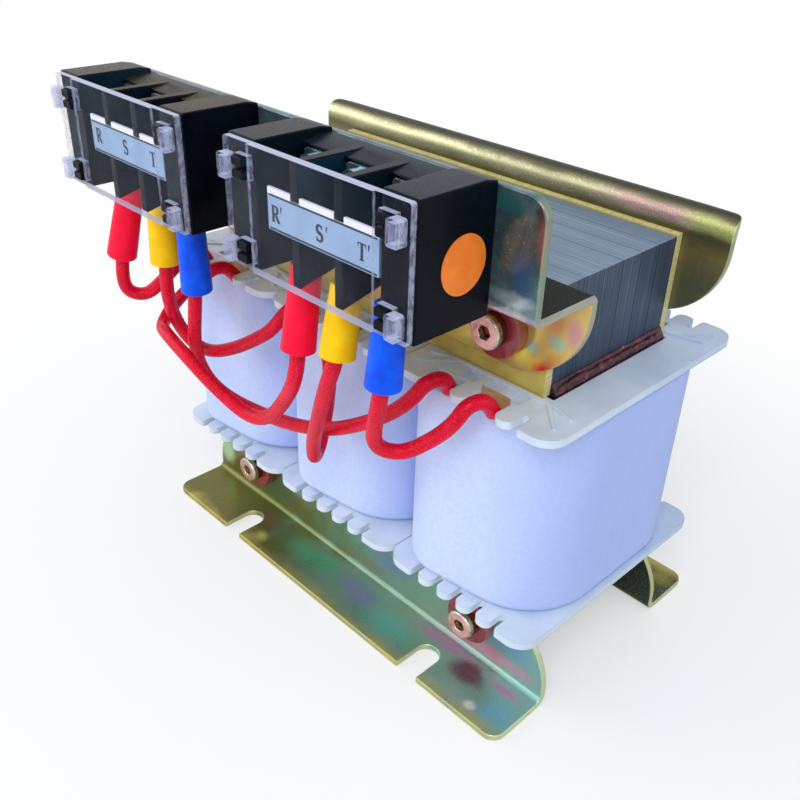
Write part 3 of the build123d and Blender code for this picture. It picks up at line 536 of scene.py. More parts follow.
def round_edges(name, width):
    """A copy of a CAD node with rounded edges, in the node's place."""
    form = bmesh.new()
    form.from_mesh(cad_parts[name].data)
    bmesh.ops.remove_doubles(form, verts=form.verts, dist=WELD)
    bmesh.ops.dissolve_limit(form, angle_limit=FLAT, verts=form.verts,
                             edges=form.edges)
    edges = [edge for edge in form.edges if may_round(edge, width)]
    bmesh.ops.bevel(form, geom=edges, offset=width, offset_type="OFFSET",
                    segments=ROUND_STEPS, profile=0.5, affect="EDGES", clamp_overlap=False)
    mesh = bpy.data.meshes.new(name + "_rounded")
    form.to_mesh(mesh)
    form.free()
    mesh.polygons.foreach_set("use_smooth", [True] * len(mesh.polygons))
    mesh.set_sharp_from_angle(angle=SHARP)
    piece = add_object(name + "_rounded", mesh)
    piece.modifiers.new("normals", "WEIGHTED_NORMAL").keep_sharp = True
    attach(piece, "root")
    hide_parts(name)
    PIECES[name] = piece


def round_pieces():
    for name, width in ROUNDED.items():
        round_edges(name, width)


round_pieces()


# Resin that has run out of the gap, in an uneven bead along each end of the core. Its
# unevenness: waves per metre along it, and shares of its radius; its sag is in metres.
BEAD_X = 0.0764
BEAD_Z = 0.1131
BEAD_HALF_LENGTH = 0.0276
BEAD_RADIUS = 0.00125
BEAD_RINGS = 90
BEAD_POINTS = 16
BEAD_TAPER = 12
BEAD_DRIFT, BEAD_DRIFT_WAVES = 0.35, 90
BEAD_LUMP, BEAD_LUMP_WAVES = 0.30, 420
BEAD_SAG = 0.0003
BEAD_WIDTH = 0.8


def make_bead(name, side, material):
    vertices = []
    for i in range(BEAD_RINGS + 1):
        share = i / BEAD_RINGS
        y = BEAD_HALF_LENGTH * (2 * share - 1)
        taper = min(1.0, BEAD_TAPER * share, BEAD_TAPER * (1 - share)) ** 0.5
        drift = noise.noise(Vector((y * BEAD_DRIFT_WAVES, side * 3.0, 1.0)))
        for j in range(BEAD_POINTS):
            angle = math.tau * j / BEAD_POINTS
            spot = (y * BEAD_LUMP_WAVES, math.cos(angle) * 1.2 + side, math.sin(angle))
            lump = noise.noise(Vector(spot))
            radius = BEAD_RADIUS * taper * (1.0 + BEAD_DRIFT * drift + BEAD_LUMP * lump)
            vertices.append((side * (BEAD_X + radius * BEAD_WIDTH * math.cos(angle)), y,
                             BEAD_Z + BEAD_SAG * drift + radius * math.sin(angle)))
    faces = tube_faces(BEAD_RINGS + 1, BEAD_POINTS)
    if side > 0:
        faces = [tuple(reversed(face)) for face in faces]
    bead = add_smooth(name, vertices, faces, material)
    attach(bead, "root")


# Core, boards and gap
def lamination_finish():
    finish = Finish("lamination")
    sheets = finish.noise((90.0, 0.5, 90.0), detail=2.0)
    packets = finish.noise((200.0, 3.2, 200.0), detail=1.0, shift=4.0)
    colour_patch = finish.noise(16.0, detail=4.0, shift=9.0)
    shade = finish.ramp(sheets, [(0.27, srgb(64, 76, 94)), (0.42, srgb(86, 100, 120)),
                                 (0.60, srgb(104, 119, 140)), (0.74, srgb(150, 163, 182))])
    shade = finish.mix(finish.span(packets, 0.33, 0.52, 0.12, 0.0), shade, srgb(44, 55, 70))
    shade = finish.mix(finish.span(colour_patch, 0.5, 0.75, 0.0, 0.25), shade, srgb(84, 94, 102))
    # Painted light: the top faces are made lighter and every other face darker, as light falls
    # from above.
    upward = finish.span(finish.facing("Z"), 0.2, 0.9)
    shade = finish.mix(upward, finish.mix(0.66, shade, srgb(28, 46, 70)),
                       finish.mix(0.35, shade, srgb(150, 178, 204)))
    relief = finish.bump(sheets, 0.03, 0.35)
    return finish.done(base_color=shade, metallic=0.35, normal=relief, specular_ior_level=0.3,
                       roughness=finish.span(colour_patch, 0.3, 0.7, 0.34, 0.52))


def board_finish():
    finish = Finish("insulation_board")
    cloud = finish.noise(9.0, detail=5.0)
    grain = finish.noise((0.8, 3.0, 0.5), detail=3.0, shift=2.0)
    face = finish.mix(finish.span(cloud, 0.32, 0.7), srgb(176, 152, 62), srgb(208, 190, 98))
    side = finish.sum("ABSOLUTE", finish.facing("Y"))
    edge = finish.mix(finish.span(grain, 0.3, 0.7), srgb(196, 180, 110), srgb(226, 214, 160))
    colour = finish.mix(finish.span(side, 0.3, 0.8), edge, face)
    return finish.done(base_color=colour, roughness=finish.span(cloud, 0.3, 0.7, 0.45, 0.65),
                       normal=finish.bump(grain, 0.06, 0.4))


def gap_finish():
    finish = Finish("gap_resin")
    resin_drops_and_glints = finish.noise((2.4, 2.4, 1.6), detail=4.0, rough=0.6, twist=0.6)
    spots = finish.noise(1.1, detail=2.0, shift=6.0)
    # The palest pink stop is a painted highlight on the resin; the darker stops are its own
    # colour.
    colour = finish.ramp(resin_drops_and_glints, [(0.34, srgb(18, 8, 14)), (0.5, srgb(62, 12, 28)),
                                 (0.62, srgb(96, 20, 42)), (0.72, srgb(190, 108, 132))])
    return finish.done(base_color=colour, roughness=finish.span(spots, 0.3, 0.7, 0.14, 0.35),
                       normal=finish.bump(resin_drops_and_glints, 0.35, 0.7), specular_ior_level=0.4)


# Clamp brackets: zinc with a yellow chromate film, whose hue wanders over the sheet.
# Heights and places on the sheets in millimetres, where one hue turns into the next; the crest's
# bands by height and its ridge are painted reflection and highlight, and the shelf's height bounds
# a painted shade
FOOT_ALONG = (-96, 96)
FOOT_RIM = (56.5, 61.5)
FOOT_SPECKLED = (20, 70)
CREST_HEIGHT = (121, 155)
RIDGE_START, RIDGE_END = (147.0, 149.0), (153.0, 151.5)
CREST_RIGHT = (48, 66)
CREST_TIP = (72, 80)
PANEL_FOOT = (151.5, 149.2)
FLANGE_TOP = (146.6, 145.6)
SHELF_HEIGHT = (156, 150)

# Stains of the film, with one painted glint among them: colour, place, reach and share; on the
# front foot's plate first
PLATE_STAINS_AND_GLINT = [
    (srgb(150, 112, 84), (-46, -41, 2), (9, 6, 5), 0.8),
    (srgb(210, 204, 96), (-39, -50.5, 2), (4.5, 4, 3), 0.9),
    (srgb(92, 168, 138), (-14, -43, 2), (22, 8, 5), 0.85),
    (srgb(132, 140, 180), (10, -43, 2), (15, 8, 5), 0.85),
    (srgb(112, 186, 170), (32, -46, 2), (15, 9, 5), 0.85),
    (srgb(182, 136, 172), (50, -37.5, 3), (20, 4.5, 6), 0.8),
    (srgb(122, 84, 98), (66, -42.5, 2), (9, 6, 4), 0.9),
    # A painted glint: a near-white highlight spot, not a stain of the film.
    (srgb(236, 246, 232), (76, -52, 2), (3.4, 3, 3), 0.9),
    (srgb(128, 186, 204), (84, -48, 2), (9, 8, 5), 0.8),
    (srgb(200, 132, 176), (80, -39, 2), (10, 3, 4), 0.8),
]
# On the rear foot
REAR_STAINS = [
    (srgb(126, 120, 44), (84, 50, 3), (8, 7, 6), 0.8),
    (srgb(116, 96, 128), (30, 45, 3), (22, 9, 9), 0.6),
    (srgb(74, 136, 116), (-30, 45, 3), (26, 9, 9), 0.6),
]
# On the front foot's upright
FLANGE_STAINS = [
    (srgb(176, 212, 160), (-86, -33, 15), (7, 6, 11), 0.8),
    (srgb(78, 110, 92), (-52, -33, 16), (20, 6, 14), 0.7),
    (srgb(110, 190, 154), (-36, -33, 18), (5, 5, 4), 0.8),
    (srgb(136, 132, 108), (2, -33, 8), (26, 5, 5), 0.7),
    (srgb(122, 146, 176), (16, -33, 14), (18, 5, 6), 0.7),
    (srgb(228, 156, 184), (70, -34, 8), (26, 6, 4.5), 0.85),
    (srgb(126, 176, 214), (76, -33, 16), (12, 6, 7), 0.8),
]


def foot_finish(name, colour_patches, shift, left, middle, right):
    """The film of a foot: three hues along it, stains with a painted glint among them, and a paler
    yellow front edge; its rims get a painted highlight.
    """
    finish = Finish(name)
    cloud = finish.noise(15.0, detail=2.0, rough=0.45, twist=0.5, shift=shift)
    along = finish.span(finish.part("X"), *FOOT_ALONG)
    wander = finish.sum("MULTIPLY_ADD", finish.span(cloud, 0.25, 0.75, -0.5, 0.5), 0.22, along)
    colour = finish.ramp(wander, [(0.10, left[0]), (0.30, left[1]), (0.52, middle),
                                  (0.75, right[0]), (0.95, right[1])])
    uneven = finish.span(cloud, 0.2, 0.8, -0.35, 0.35)
    for tint, centre, reach, share in colour_patches:
        colour = finish.colour_patch(colour, tint, centre, reach, share, uneven)
    rim = finish.sum("ABSOLUTE", finish.part("Y"))
    rim = finish.span(finish.sum("MULTIPLY_ADD", cloud, 9.0, rim), *FOOT_RIM, 0.0, 0.7)
    colour = finish.mix(rim, colour, finish.mix(cloud, srgb(176, 146, 70), srgb(196, 190, 96)))
    spangle = finish.noise(0.6, detail=2.0, shift=5.0)
    speckled = finish.span(finish.part("X"), *FOOT_SPECKLED, 0.04, 0.22)
    colour = finish.mix(finish.both(finish.span(spangle, 0.56, 0.75), speckled),
                        colour, srgb(226, 224, 208))
    grain = finish.noise(1.6, detail=4.0, shift=1.0)
    return finish.done(base_color=painted_edge_highlight(finish, colour), metallic=0.55,
                       normal=finish.bump(grain, 0.015, 0.25),
                       roughness=finish.span(cloud, 0.3, 0.7, 0.24, 0.36))


def painted_edge_highlight(finish, colour, pale=srgb(206, 208, 150)):
    """Painted highlight: paler metal where a sheet's rim faces along X, or where a rounded edge
    turns.
    """
    side = finish.span(finish.sum("ABSOLUTE", finish.facing("X")), 0.25, 0.75, 0.0, 0.75)
    return finish.mix(side, colour, pale)


def crest_finish():
    finish = Finish("chromate_crest")
    cloud = finish.noise((26.0, 12.0, 9.0), detail=3.0, shift=2.4)
    height = finish.sum("MULTIPLY_ADD", finish.span(cloud, 0.25, 0.75, -1.0, 1.0), 1.0,
                        finish.part("Z"))
    # Painted reflection: bands by height along the crest's profile, with a pale painted highlight
    # band across the bend and a dark top.
    colour = finish.ramp(finish.span(height, *CREST_HEIGHT), [
        (0.02, srgb(112, 118, 88)), (0.35, srgb(112, 114, 82)), (0.60, srgb(136, 124, 76)),
        (0.74, srgb(92, 88, 58)), (0.81, srgb(146, 142, 104)), (0.87, srgb(204, 202, 156)),
        (0.93, srgb(112, 110, 84)), (0.99, srgb(52, 52, 38))])
    # The ridge's painted highlight turns pink, then yellow, towards the right end.
    right = finish.span(finish.sum("MULTIPLY_ADD", cloud, 20.0, finish.part("X")), *CREST_RIGHT)
    ridge_highlight = finish.both(finish.span(height, *RIDGE_START), finish.span(height, *RIDGE_END))
    tip = finish.span(finish.part("X"), *CREST_TIP)
    ends = finish.mix(tip, srgb(206, 152, 162), srgb(196, 204, 110))
    colour = finish.mix(finish.both(finish.both(right, ridge_highlight), 0.7), colour, ends)
    grit = finish.noise(0.55, detail=3.0, rough=0.7, shift=5.0)
    # Painted glints: bright grit along the ridge highlight.
    ridge_glint = finish.both(ridge_highlight, finish.span(grit, 0.52, 0.66, 0.0, 0.75))
    colour = finish.mix(ridge_glint, colour, srgb(232, 226, 186))
    # Painted dark reflection on the flat top faces.
    dark_top_reflection = finish.span(finish.facing("Z"), 0.80, 0.97)
    colour = finish.mix(dark_top_reflection, colour, srgb(54, 50, 34))
    colour = painted_edge_highlight(finish, colour, srgb(170, 172, 140))
    grain = finish.noise(1.6, detail=4.0, shift=1.0)
    return finish.done(base_color=colour, metallic=0.7, normal=finish.bump(grain, 0.02, 0.3),
                       roughness=finish.span(grain, 0.3, 0.7, 0.3, 0.46))


# On the terminal bracket's panel, then on its lower flange
PANEL_STAINS = [
    (srgb(46, 122, 122), (77, -57, 175), (7, 4, 3), 0.8),
    (srgb(70, 108, 156), (83, -57, 158), (5, 4, 8), 0.8),
    (srgb(92, 44, 52), (86, -57, 174), (2.5, 4, 4), 0.7),
    (srgb(186, 92, 62), (87.5, -57, 168), (1.8, 4, 9), 0.5),
    (srgb(190, 206, 206), (80, -57, 152), (9, 4, 3), 0.7),
]
LOWER_STAINS = [
    (srgb(228, 212, 84), (68, -33, 124), (9, 4, 5), 0.9),
    (srgb(146, 190, 168), (71, -33, 127), (3.6, 4, 3), 0.8),
    (srgb(150, 188, 172), (79, -33, 131.5), (4.2, 4, 3), 0.8),
    (srgb(214, 150, 96), (77, -33, 137), (6, 4, 4), 0.7),
    (srgb(196, 136, 152), (84, -33, 136), (3.6, 4, 6), 0.8),
    (srgb(226, 50, 44), (76.5, -33, 121), (6, 4, 4), 1.0),
    (srgb(204, 188, 84), (43, -33, 120), (16, 4, 5), 0.7),
]


def terminal_bracket_finish():
    finish = Finish("chromate_terminal")
    cloud = finish.noise(9.0, detail=4.0, rough=0.6, twist=0.7, shift=7.3)
    uneven = finish.span(cloud, 0.2, 0.8, -0.4, 0.4)
    speck = finish.noise(0.9, detail=3.0, rough=0.7, shift=2.2)
    panel = finish.mix(finish.span(cloud, 0.3, 0.7), srgb(60, 80, 84), srgb(100, 128, 134))
    panel = finish.mix(finish.span(speck, 0.60, 0.72, 0.0, 0.5), panel, srgb(176, 188, 176))
    for tint, centre, reach, share in PANEL_STAINS:
        panel = finish.colour_patch(panel, tint, centre, reach, share, uneven)
    lower = finish.mix(finish.span(cloud, 0.3, 0.7), srgb(214, 190, 92), srgb(200, 166, 112))
    lower = finish.mix(finish.span(speck, 0.58, 0.72, 0.0, 0.3), lower, srgb(220, 208, 150))
    for tint, centre, reach, share in LOWER_STAINS:
        lower = finish.colour_patch(lower, tint, centre, reach, share, uneven)
    # Painted shade: a near-black colour for the shelf.
    shelf_shade = finish.mix(finish.span(speck, 0.35, 0.75), srgb(16, 21, 17), srgb(38, 46, 38))
    pastel = finish.mix(finish.span(cloud, 0.35, 0.65), srgb(206, 214, 196), srgb(206, 178, 198))
    height = finish.part("Z")
    low_bend = finish.span(finish.sum("MULTIPLY_ADD", cloud, 3.0, height), *PANEL_FOOT)
    colour = finish.mix(low_bend, panel, pastel)
    colour = finish.mix(finish.span(height, *FLANGE_TOP), colour, lower)
    colour = painted_edge_highlight(finish, colour, srgb(146, 154, 132))
    # Painted shade: upward faces at the shelf's height take the near-black colour, and lose their
    # metal and shine.
    upward = finish.span(finish.facing("Z"), 0.8, 0.97)
    shelf_shade_share = finish.both(upward, finish.span(height, *SHELF_HEIGHT))
    colour = finish.mix(shelf_shade_share, colour, shelf_shade)
    grain = finish.noise(1.6, detail=4.0, shift=1.0)
    return finish.done(base_color=colour, metallic=finish.span(shelf_shade_share, 0.0, 1.0, 0.6, 0.0),
                       specular_ior_level=finish.span(shelf_shade_share, 0.0, 1.0, 0.5, 0.06),
                       roughness=finish.span(shelf_shade_share, 0.0, 1.0, 0.2, 0.5),
                       normal=finish.bump(grain, 0.02, 0.3))


# Small metal: where the bolts' sockets start along Y, past which the socket gets a painted shade
SOCKET_DEPTH = (-39.9, -39.2)


def steel_finish(name, dark, pale, rough=(0.25, 0.45)):
    finish = Finish(name)
    grain = finish.noise((0.5, 0.5, 3.0), detail=3.0)
    cloud = finish.noise(3.0, detail=3.0, shift=4.0)
    colour = finish.mix(finish.span(cloud, 0.3, 0.7), dark, pale)
    return finish.done(base_color=colour, metallic=0.9, normal=finish.bump(grain, 0.02, 0.4),
                       roughness=finish.span(grain, 0.3, 0.7, *rough))


def bolt_finish():
    finish = Finish("bolt_steel")
    cloud = finish.noise(2.5, detail=3.0)
    # Painted reflection of the red washers: pink on the heads' front faces.
    face = finish.mix(finish.span(cloud, 0.3, 0.7), srgb(208, 150, 146), srgb(230, 188, 180))
    # Painted highlight: a pale rim round the heads.
    rim = finish.mix(finish.span(cloud, 0.35, 0.65), srgb(150, 150, 140), srgb(226, 224, 196))
    front = finish.span(finish.facing("Y"), -0.75, -0.98)
    colour = finish.mix(front, rim, face)
    # Painted shade: dark brown inside the sockets.
    depth = finish.span(finish.part("Y"), *SOCKET_DEPTH)
    colour = finish.mix(depth, colour, srgb(122, 66, 30))
    return finish.done(base_color=colour, metallic=0.85,
                       roughness=finish.span(cloud, 0.3, 0.7, 0.16, 0.3))


def washer_red_finish():
    finish = Finish("insulating_red")
    cloud = finish.noise(3.2, detail=4.0)
    face = finish.mix(finish.span(cloud, 0.3, 0.7), srgb(120, 22, 38), srgb(150, 38, 50))
    side = finish.mix(finish.span(cloud, 0.3, 0.7), srgb(140, 58, 46), srgb(172, 80, 62))
    front = finish.span(finish.sum("ABSOLUTE", finish.facing("Y")), 0.5, 0.9)
    return finish.done(base_color=finish.mix(front, side, face), coat_weight=0.5,
                       roughness=finish.span(cloud, 0.3, 0.7, 0.25, 0.4),
                       normal=finish.bump(cloud, 0.05, 0.3))


# Bobbins, coils and paper: where painted shade turns the bobbins darker and bluer towards the
# rear, and the width of their soft edges
BOBBIN_REAR_SHADE = (-34, 30)
BOBBIN_EDGE = 0.5


def nylon_finish():
    finish = Finish("bobbin_nylon")
    cloud = finish.noise(14.0, detail=4.0)
    fine = finish.noise(0.9, detail=3.0, shift=3.0)
    colour = finish.mix(finish.span(cloud, 0.3, 0.7), srgb(200, 214, 230), srgb(222, 233, 246))
    # Painted shade: darker and bluer towards the rear.
    rear_shade = finish.span(finish.part("Y"), *BOBBIN_REAR_SHADE, 0.0, 0.5, smooth=True)
    colour = finish.mix(rear_shade, colour, srgb(150, 172, 214))
    # Painted shade: darker on faces that turn downward.
    underside_shade = finish.span(finish.facing("Z"), -0.2, 0.5, 0.35, 0.0)
    colour = finish.mix(underside_shade, colour, srgb(176, 196, 214))
    return finish.done(base_color=colour, roughness=finish.span(fine, 0.3, 0.7, 0.3, 0.46),
                       normal=finish.soft_edges(BOBBIN_EDGE, finish.bump(fine, 0.03, 0.35)),
                       coat_weight=0.15)


def wrap_finish():
    finish = Finish("coil_paper")
    cloud = finish.noise((30.0, 30.0, 44.0), detail=3.0)
    fibre = finish.noise((1.2, 1.2, 5.0), detail=4.0, shift=2.0)
    specks = finish.noise(0.8, detail=1.0, shift=11.0)
    colour = finish.mix(finish.span(cloud, 0.3, 0.7), srgb(190, 205, 250), srgb(202, 216, 254))
    colour = finish.mix(finish.span(fibre, 0.5, 0.8, 0.0, 0.22), colour, srgb(216, 227, 255))
    mottle = finish.noise((1.5, 1.5, 1.2), detail=3.0, rough=0.6, shift=6.0)
    colour = finish.mix(finish.span(mottle, 0.42, 0.66, 0.0, 0.30), colour, srgb(172, 188, 240))
    colour = finish.mix(finish.span(specks, 0.76, 0.80, 0.0, 0.35), colour, srgb(140, 150, 196))
    # Painted shade: faces turned towards +X are darker and bluer.
    painted_x_side = finish.span(finish.facing("X"), 0.1, 0.95, 0.0, 0.55)
    colour = finish.mix(painted_x_side, colour, srgb(142, 164, 226))
    return finish.done(base_color=colour, roughness=finish.span(fibre, 0.3, 0.7, 0.5, 0.68),
                       normal=finish.bump(fibre, 0.03, 0.25))


def kraft_finish():
    finish = Finish("kraft_paper")
    fibre = finish.noise((2.6, 0.6, 0.5), detail=5.0)
    colour = finish.mix(finish.span(fibre, 0.3, 0.7), srgb(146, 112, 74), srgb(192, 156, 108))
    return finish.done(base_color=colour, roughness=finish.span(fibre, 0.3, 0.7, 0.7, 0.9),
                       normal=finish.bump(fibre, 0.08, 0.5))


def copper_finish():
    finish = Finish("enamelled_copper")
    turns = finish.noise((30.0, 30.0, 0.8), detail=1.0)
    colour = finish.mix(finish.span(turns, 0.35, 0.65), srgb(120, 54, 24), srgb(196, 108, 52))
    return finish.done(base_color=colour, metallic=0.7, normal=finish.bump(turns, 0.3, 0.6),
                       roughness=finish.span(turns, 0.3, 0.7, 0.25, 0.4))


# Terminal blocks, covers and labels: places in millimetres
RIB_PITCH = 1.9
GOLD_REFLECTION_FROM = (-56.0, -70.0)
CHAMBER_HEIGHT = (160, 177)
CHAMBER_HALF = (33.6, 33.0)
TAB_HEIGHT = (167.6, 167.9)


def block_finish(side, gold_reflection_share):
    """Black moulding, with a painted teal reflection in the chambers; its tops get a painted gold
    reflection by a share, with ribs, and a painted grey-blue reflection where not gold.
    """
    finish = Finish("block_black_" + side)
    cloud = finish.noise(12.0, detail=4.0)
    fine = finish.noise(0.5, detail=2.0, shift=2.0)
    body = finish.mix(finish.span(cloud, 0.3, 0.7), srgb(3, 6, 12), srgb(9, 14, 24))
    across = finish.sum("ADD", finish.part("X"), finish.part("Y"))
    wave = finish.sum("SINE", finish.sum("MULTIPLY", across, math.tau / RIB_PITCH))
    ribs = finish.span(wave, -1.0, 1.0)
    # Painted reflection on the tops: gold with ribs towards the front, grey-blue behind.
    gold_reflection = finish.mix(ribs, srgb(38, 30, 14), srgb(54, 44, 22))
    grey_reflection = finish.mix(finish.span(fine, 0.3, 0.7), srgb(8, 22, 38), srgb(17, 34, 52))
    forward = finish.sum("MULTIPLY_ADD", finish.span(cloud, 0.3, 0.7), -6.0, finish.part("Y"))
    near = finish.span(forward, *GOLD_REFLECTION_FROM, 0.55 * gold_reflection_share, gold_reflection_share, smooth=True)
    top = finish.mix(near, grey_reflection, gold_reflection)
    upward = finish.span(finish.facing("Z"), 0.85, 0.98)
    colour = finish.mix(upward, body, top)
    # Painted reflection: teal on the chambers' side walls.
    painted_x_side = finish.span(finish.sum("ABSOLUTE", finish.facing("X")), 0.8, 0.98)
    inner = finish.span(finish.part("Z"), *CHAMBER_HEIGHT, 0.0, 0.55)
    stripes = finish.noise((0.4, 60.0, 60.0), detail=0.0, shift=5.0)
    teal_reflection = finish.mix(finish.span(stripes, 0.4, 0.6), srgb(6, 24, 36), srgb(22, 62, 82))
    low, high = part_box("terminal_block_" + side)
    middle = (low[0] + high[0]) / 2 * 1000
    off = finish.sum("ABSOLUTE", finish.sum("SUBTRACT", finish.part("X"), middle))
    inside = finish.both(finish.both(painted_x_side, inner), finish.span(off, *CHAMBER_HALF))
    colour = finish.mix(inside, colour, teal_reflection)
    return finish.done(base_color=colour, roughness=finish.span(fine, 0.3, 0.7, 0.24, 0.38),
                       normal=finish.bump(fine, 0.008, 0.15), specular_ior_level=0.07)


def cover_finish():
    finish = Finish("cover_clear")
    smear = finish.noise((9.0, 9.0, 22.0), detail=4.0, twist=0.6)
    frost = finish.noise((1.2, 1.2, 2.4), detail=3.0, shift=3.0)
    face = finish.span(finish.sum("ABSOLUTE", finish.facing("Y")), 0.2, 0.8)
    # Painted reflection: a faint pale veil on the faces, uneven like smears, and more of it at
    # glancing angles.
    reflection_veil = finish.span(smear, 0.4, 0.8, 0.003, 0.016)
    blend = finish.node("LayerWeight")
    finish.feed(blend.inputs["Blend"], 0.2)
    glancing_reflection = finish.both(blend.outputs["Fresnel"], 0.04)
    # Painted highlight: pale, nearly opaque rims, strongest on the top faces, frosted on the
    # sides.
    side = finish.span(frost, 0.35, 0.65, 0.18, 0.5)
    rim_highlight = finish.span(finish.facing("Z"), 0.3, 0.9, side, 0.78)
    alpha = finish.span(face, 0.0, 1.0, rim_highlight, finish.sum("ADD", reflection_veil, glancing_reflection))
    colour = finish.mix(face, srgb(208, 212, 244), srgb(176, 184, 206))
    return finish.done(base_color=colour, alpha=alpha, specular_ior_level=0.3,
                       roughness=finish.span(smear, 0.3, 0.7, 0.04, 0.12))


def label_finish():
    finish = Finish("label_paper")
    cloud = finish.noise(7.0, detail=4.0)
    fine = finish.noise(0.5, detail=2.0, shift=2.0)
    colour = finish.mix(finish.span(cloud, 0.3, 0.7), srgb(130, 154, 190), srgb(142, 168, 204))
    tab = finish.span(finish.part("Z"), *TAB_HEIGHT)
    colour = finish.mix(tab, colour, srgb(226, 226, 244))
    return finish.done(base_color=colour, roughness=finish.span(fine, 0.3, 0.7, 0.5, 0.65),
                       normal=finish.bump(fine, 0.02, 0.3))


def ink_finish():
    finish = Finish("ink")
    cloud = finish.noise(1.5, detail=3.0)
    colour = finish.mix(finish.span(cloud, 0.3, 0.7), srgb(14, 17, 26), srgb(30, 35, 48))
    return finish.done(base_color=colour, roughness=finish.span(cloud, 0.3, 0.7, 0.5, 0.7))


def vinyl_finish(name, dark, pale):
    finish = Finish("vinyl_" + name)
    cloud = finish.noise(5.0, detail=3.0)
    fine = finish.noise((0.6, 0.6, 1.8), detail=3.0, shift=3.0)
    colour = finish.mix(finish.span(cloud, 0.3, 0.7), dark, pale)
    return finish.done(base_color=colour, roughness=finish.span(fine, 0.3, 0.7, 0.38, 0.52),
                       normal=finish.bump(fine, 0.02, 0.25), specular_ior_level=0.16)


def sticker_finish():
    finish = Finish("sticker_orange")
    cloud = finish.noise(4.0, detail=4.0)
    colour = finish.mix(finish.span(cloud, 0.3, 0.7), srgb(240, 116, 14), srgb(250, 136, 30))
    return finish.done(base_color=colour, roughness=finish.span(cloud, 0.3, 0.7, 0.4, 0.55),
                       normal=finish.bump(cloud, 0.02, 0.2))


def tube_finish():
    finish = Finish("tube_plastic")
    cloud = finish.noise((2.0, 8.0, 2.0), detail=3.0)
    colour = finish.mix(finish.span(cloud, 0.3, 0.7), srgb(186, 176, 140), srgb(206, 198, 168))
    return finish.done(base_color=colour, roughness=finish.span(cloud, 0.3, 0.7, 0.4, 0.6))


def dress_all():
    dress(lamination_finish(), "core_stack", "core_yoke")
    resin = gap_finish()
    dress(resin, "gap_spacers")
    make_bead("resin_bead_left", -1, resin)
    make_bead("resin_bead_right", 1, resin)
    dress(board_finish(), *["insulation_board_" + end for end in
                            ("top_front", "top_rear", "bottom_front", "bottom_rear")])
    front = foot_finish("chromate_foot_front", PLATE_STAINS_AND_GLINT + FLANGE_STAINS, 0.0,
                        (srgb(108, 105, 50), srgb(108, 116, 62)), srgb(124, 156, 136),
                        (srgb(140, 168, 150), srgb(140, 184, 176)))
    rear = foot_finish("chromate_foot_rear", REAR_STAINS, 31.0,
                       (srgb(96, 110, 60), srgb(76, 110, 84)), srgb(96, 116, 110),
                       (srgb(56, 70, 38), srgb(38, 50, 26)))
    dress(front, "foot_bracket_front")
    dress(rear, "foot_bracket_rear")
    dress(crest_finish(), "top_bracket_rear")
    dress(terminal_bracket_finish(), "terminal_bracket")
    dress(bolt_finish(), "clamp_bolts")
    dress(washer_red_finish(), "insulating_washers")
    dress(steel_finish("zinc", srgb(132, 132, 128), srgb(196, 194, 184)),
          "clamp_nuts", "steel_washers", "block_fixing_screws")
    dress(steel_finish("terminal_screw", srgb(96, 128, 146), srgb(190, 214, 226), (0.15, 0.3)),
          "terminal_screws_left", "terminal_screws_right")
    dress(steel_finish("plated_brass", srgb(110, 136, 150), srgb(180, 198, 206), (0.2, 0.35)),
          "terminal_bars_left", "terminal_bars_right")
    dress(steel_finish("tinned_copper", srgb(150, 148, 140), srgb(200, 196, 186)),
          "ring_lugs_left", "ring_lugs_right")
    dress(tube_finish(), "insulating_tubes")
    dress(kraft_finish(), "slot_papers")
    dress(sticker_finish(), "inspection_sticker")
    nylon, paper, copper = nylon_finish(), wrap_finish(), copper_finish()
    for name in ("left", "middle", "right"):
        dress(nylon, "bobbin_" + name)
        dress(paper, "coil_wrap_" + name)
        dress(copper, "winding_" + name)
    cover, label = cover_finish(), label_finish()
    blocks = {"left": block_finish("left", 1.0), "right": block_finish("right", 0.15)}
    sleeves = {"red": vinyl_finish("red", srgb(234, 0, 50), srgb(250, 2, 62)),
               "yellow": vinyl_finish("yellow", srgb(246, 182, 0), srgb(255, 206, 0)),
               "blue": vinyl_finish("blue", srgb(0, 72, 222), srgb(0, 96, 250))}
    for side in ("left", "right"):
        dress(blocks[side], "terminal_block_" + side)
        dress(cover, "terminal_cover_" + side)
        dress(label, "label_strip_" + side)
        for colour, material in sleeves.items():
            dress(material, "sleeve_%s_%s" % (side, colour))


dress_all()


# Letters and lines on the label strips, as thin raised print. Strokes are in shares of
# the letters' height
THICK, THIN = 0.20, 0.085
LETTER_MIDDLE = 0.36
LAYER_STEP = 0.1


def ribbon(points, widths):
    """A flat stroke along points, as wide as widths say there."""
    corners = []
    for i, (point, width) in enumerate(zip(points, widths)):
        ahead = (Vector(points[min(i + 1, len(points) - 1)])
                 - Vector(points[max(i - 1, 0)])).normalized()
        off = Vector((-ahead.y, ahead.x)) * width / 2
        corners.append((Vector(point) + off, Vector(point) - off))
    return corners


def arc(centre, radius, start, end, count=12):
    """Points along an arc, with angles in degrees."""
    angles = [math.radians(start + (end - start) * i / (count - 1)) for i in range(count)]
    return [(centre[0] + radius[0] * math.cos(a), centre[1] + radius[1] * math.sin(a))
            for a in angles]


def swell(count, low=THIN, high=THICK):
    """Widths that grow to the middle of a stroke and shrink again."""
    return [low + (high - low) * math.sin(math.pi * i / (count - 1)) for i in range(count)]


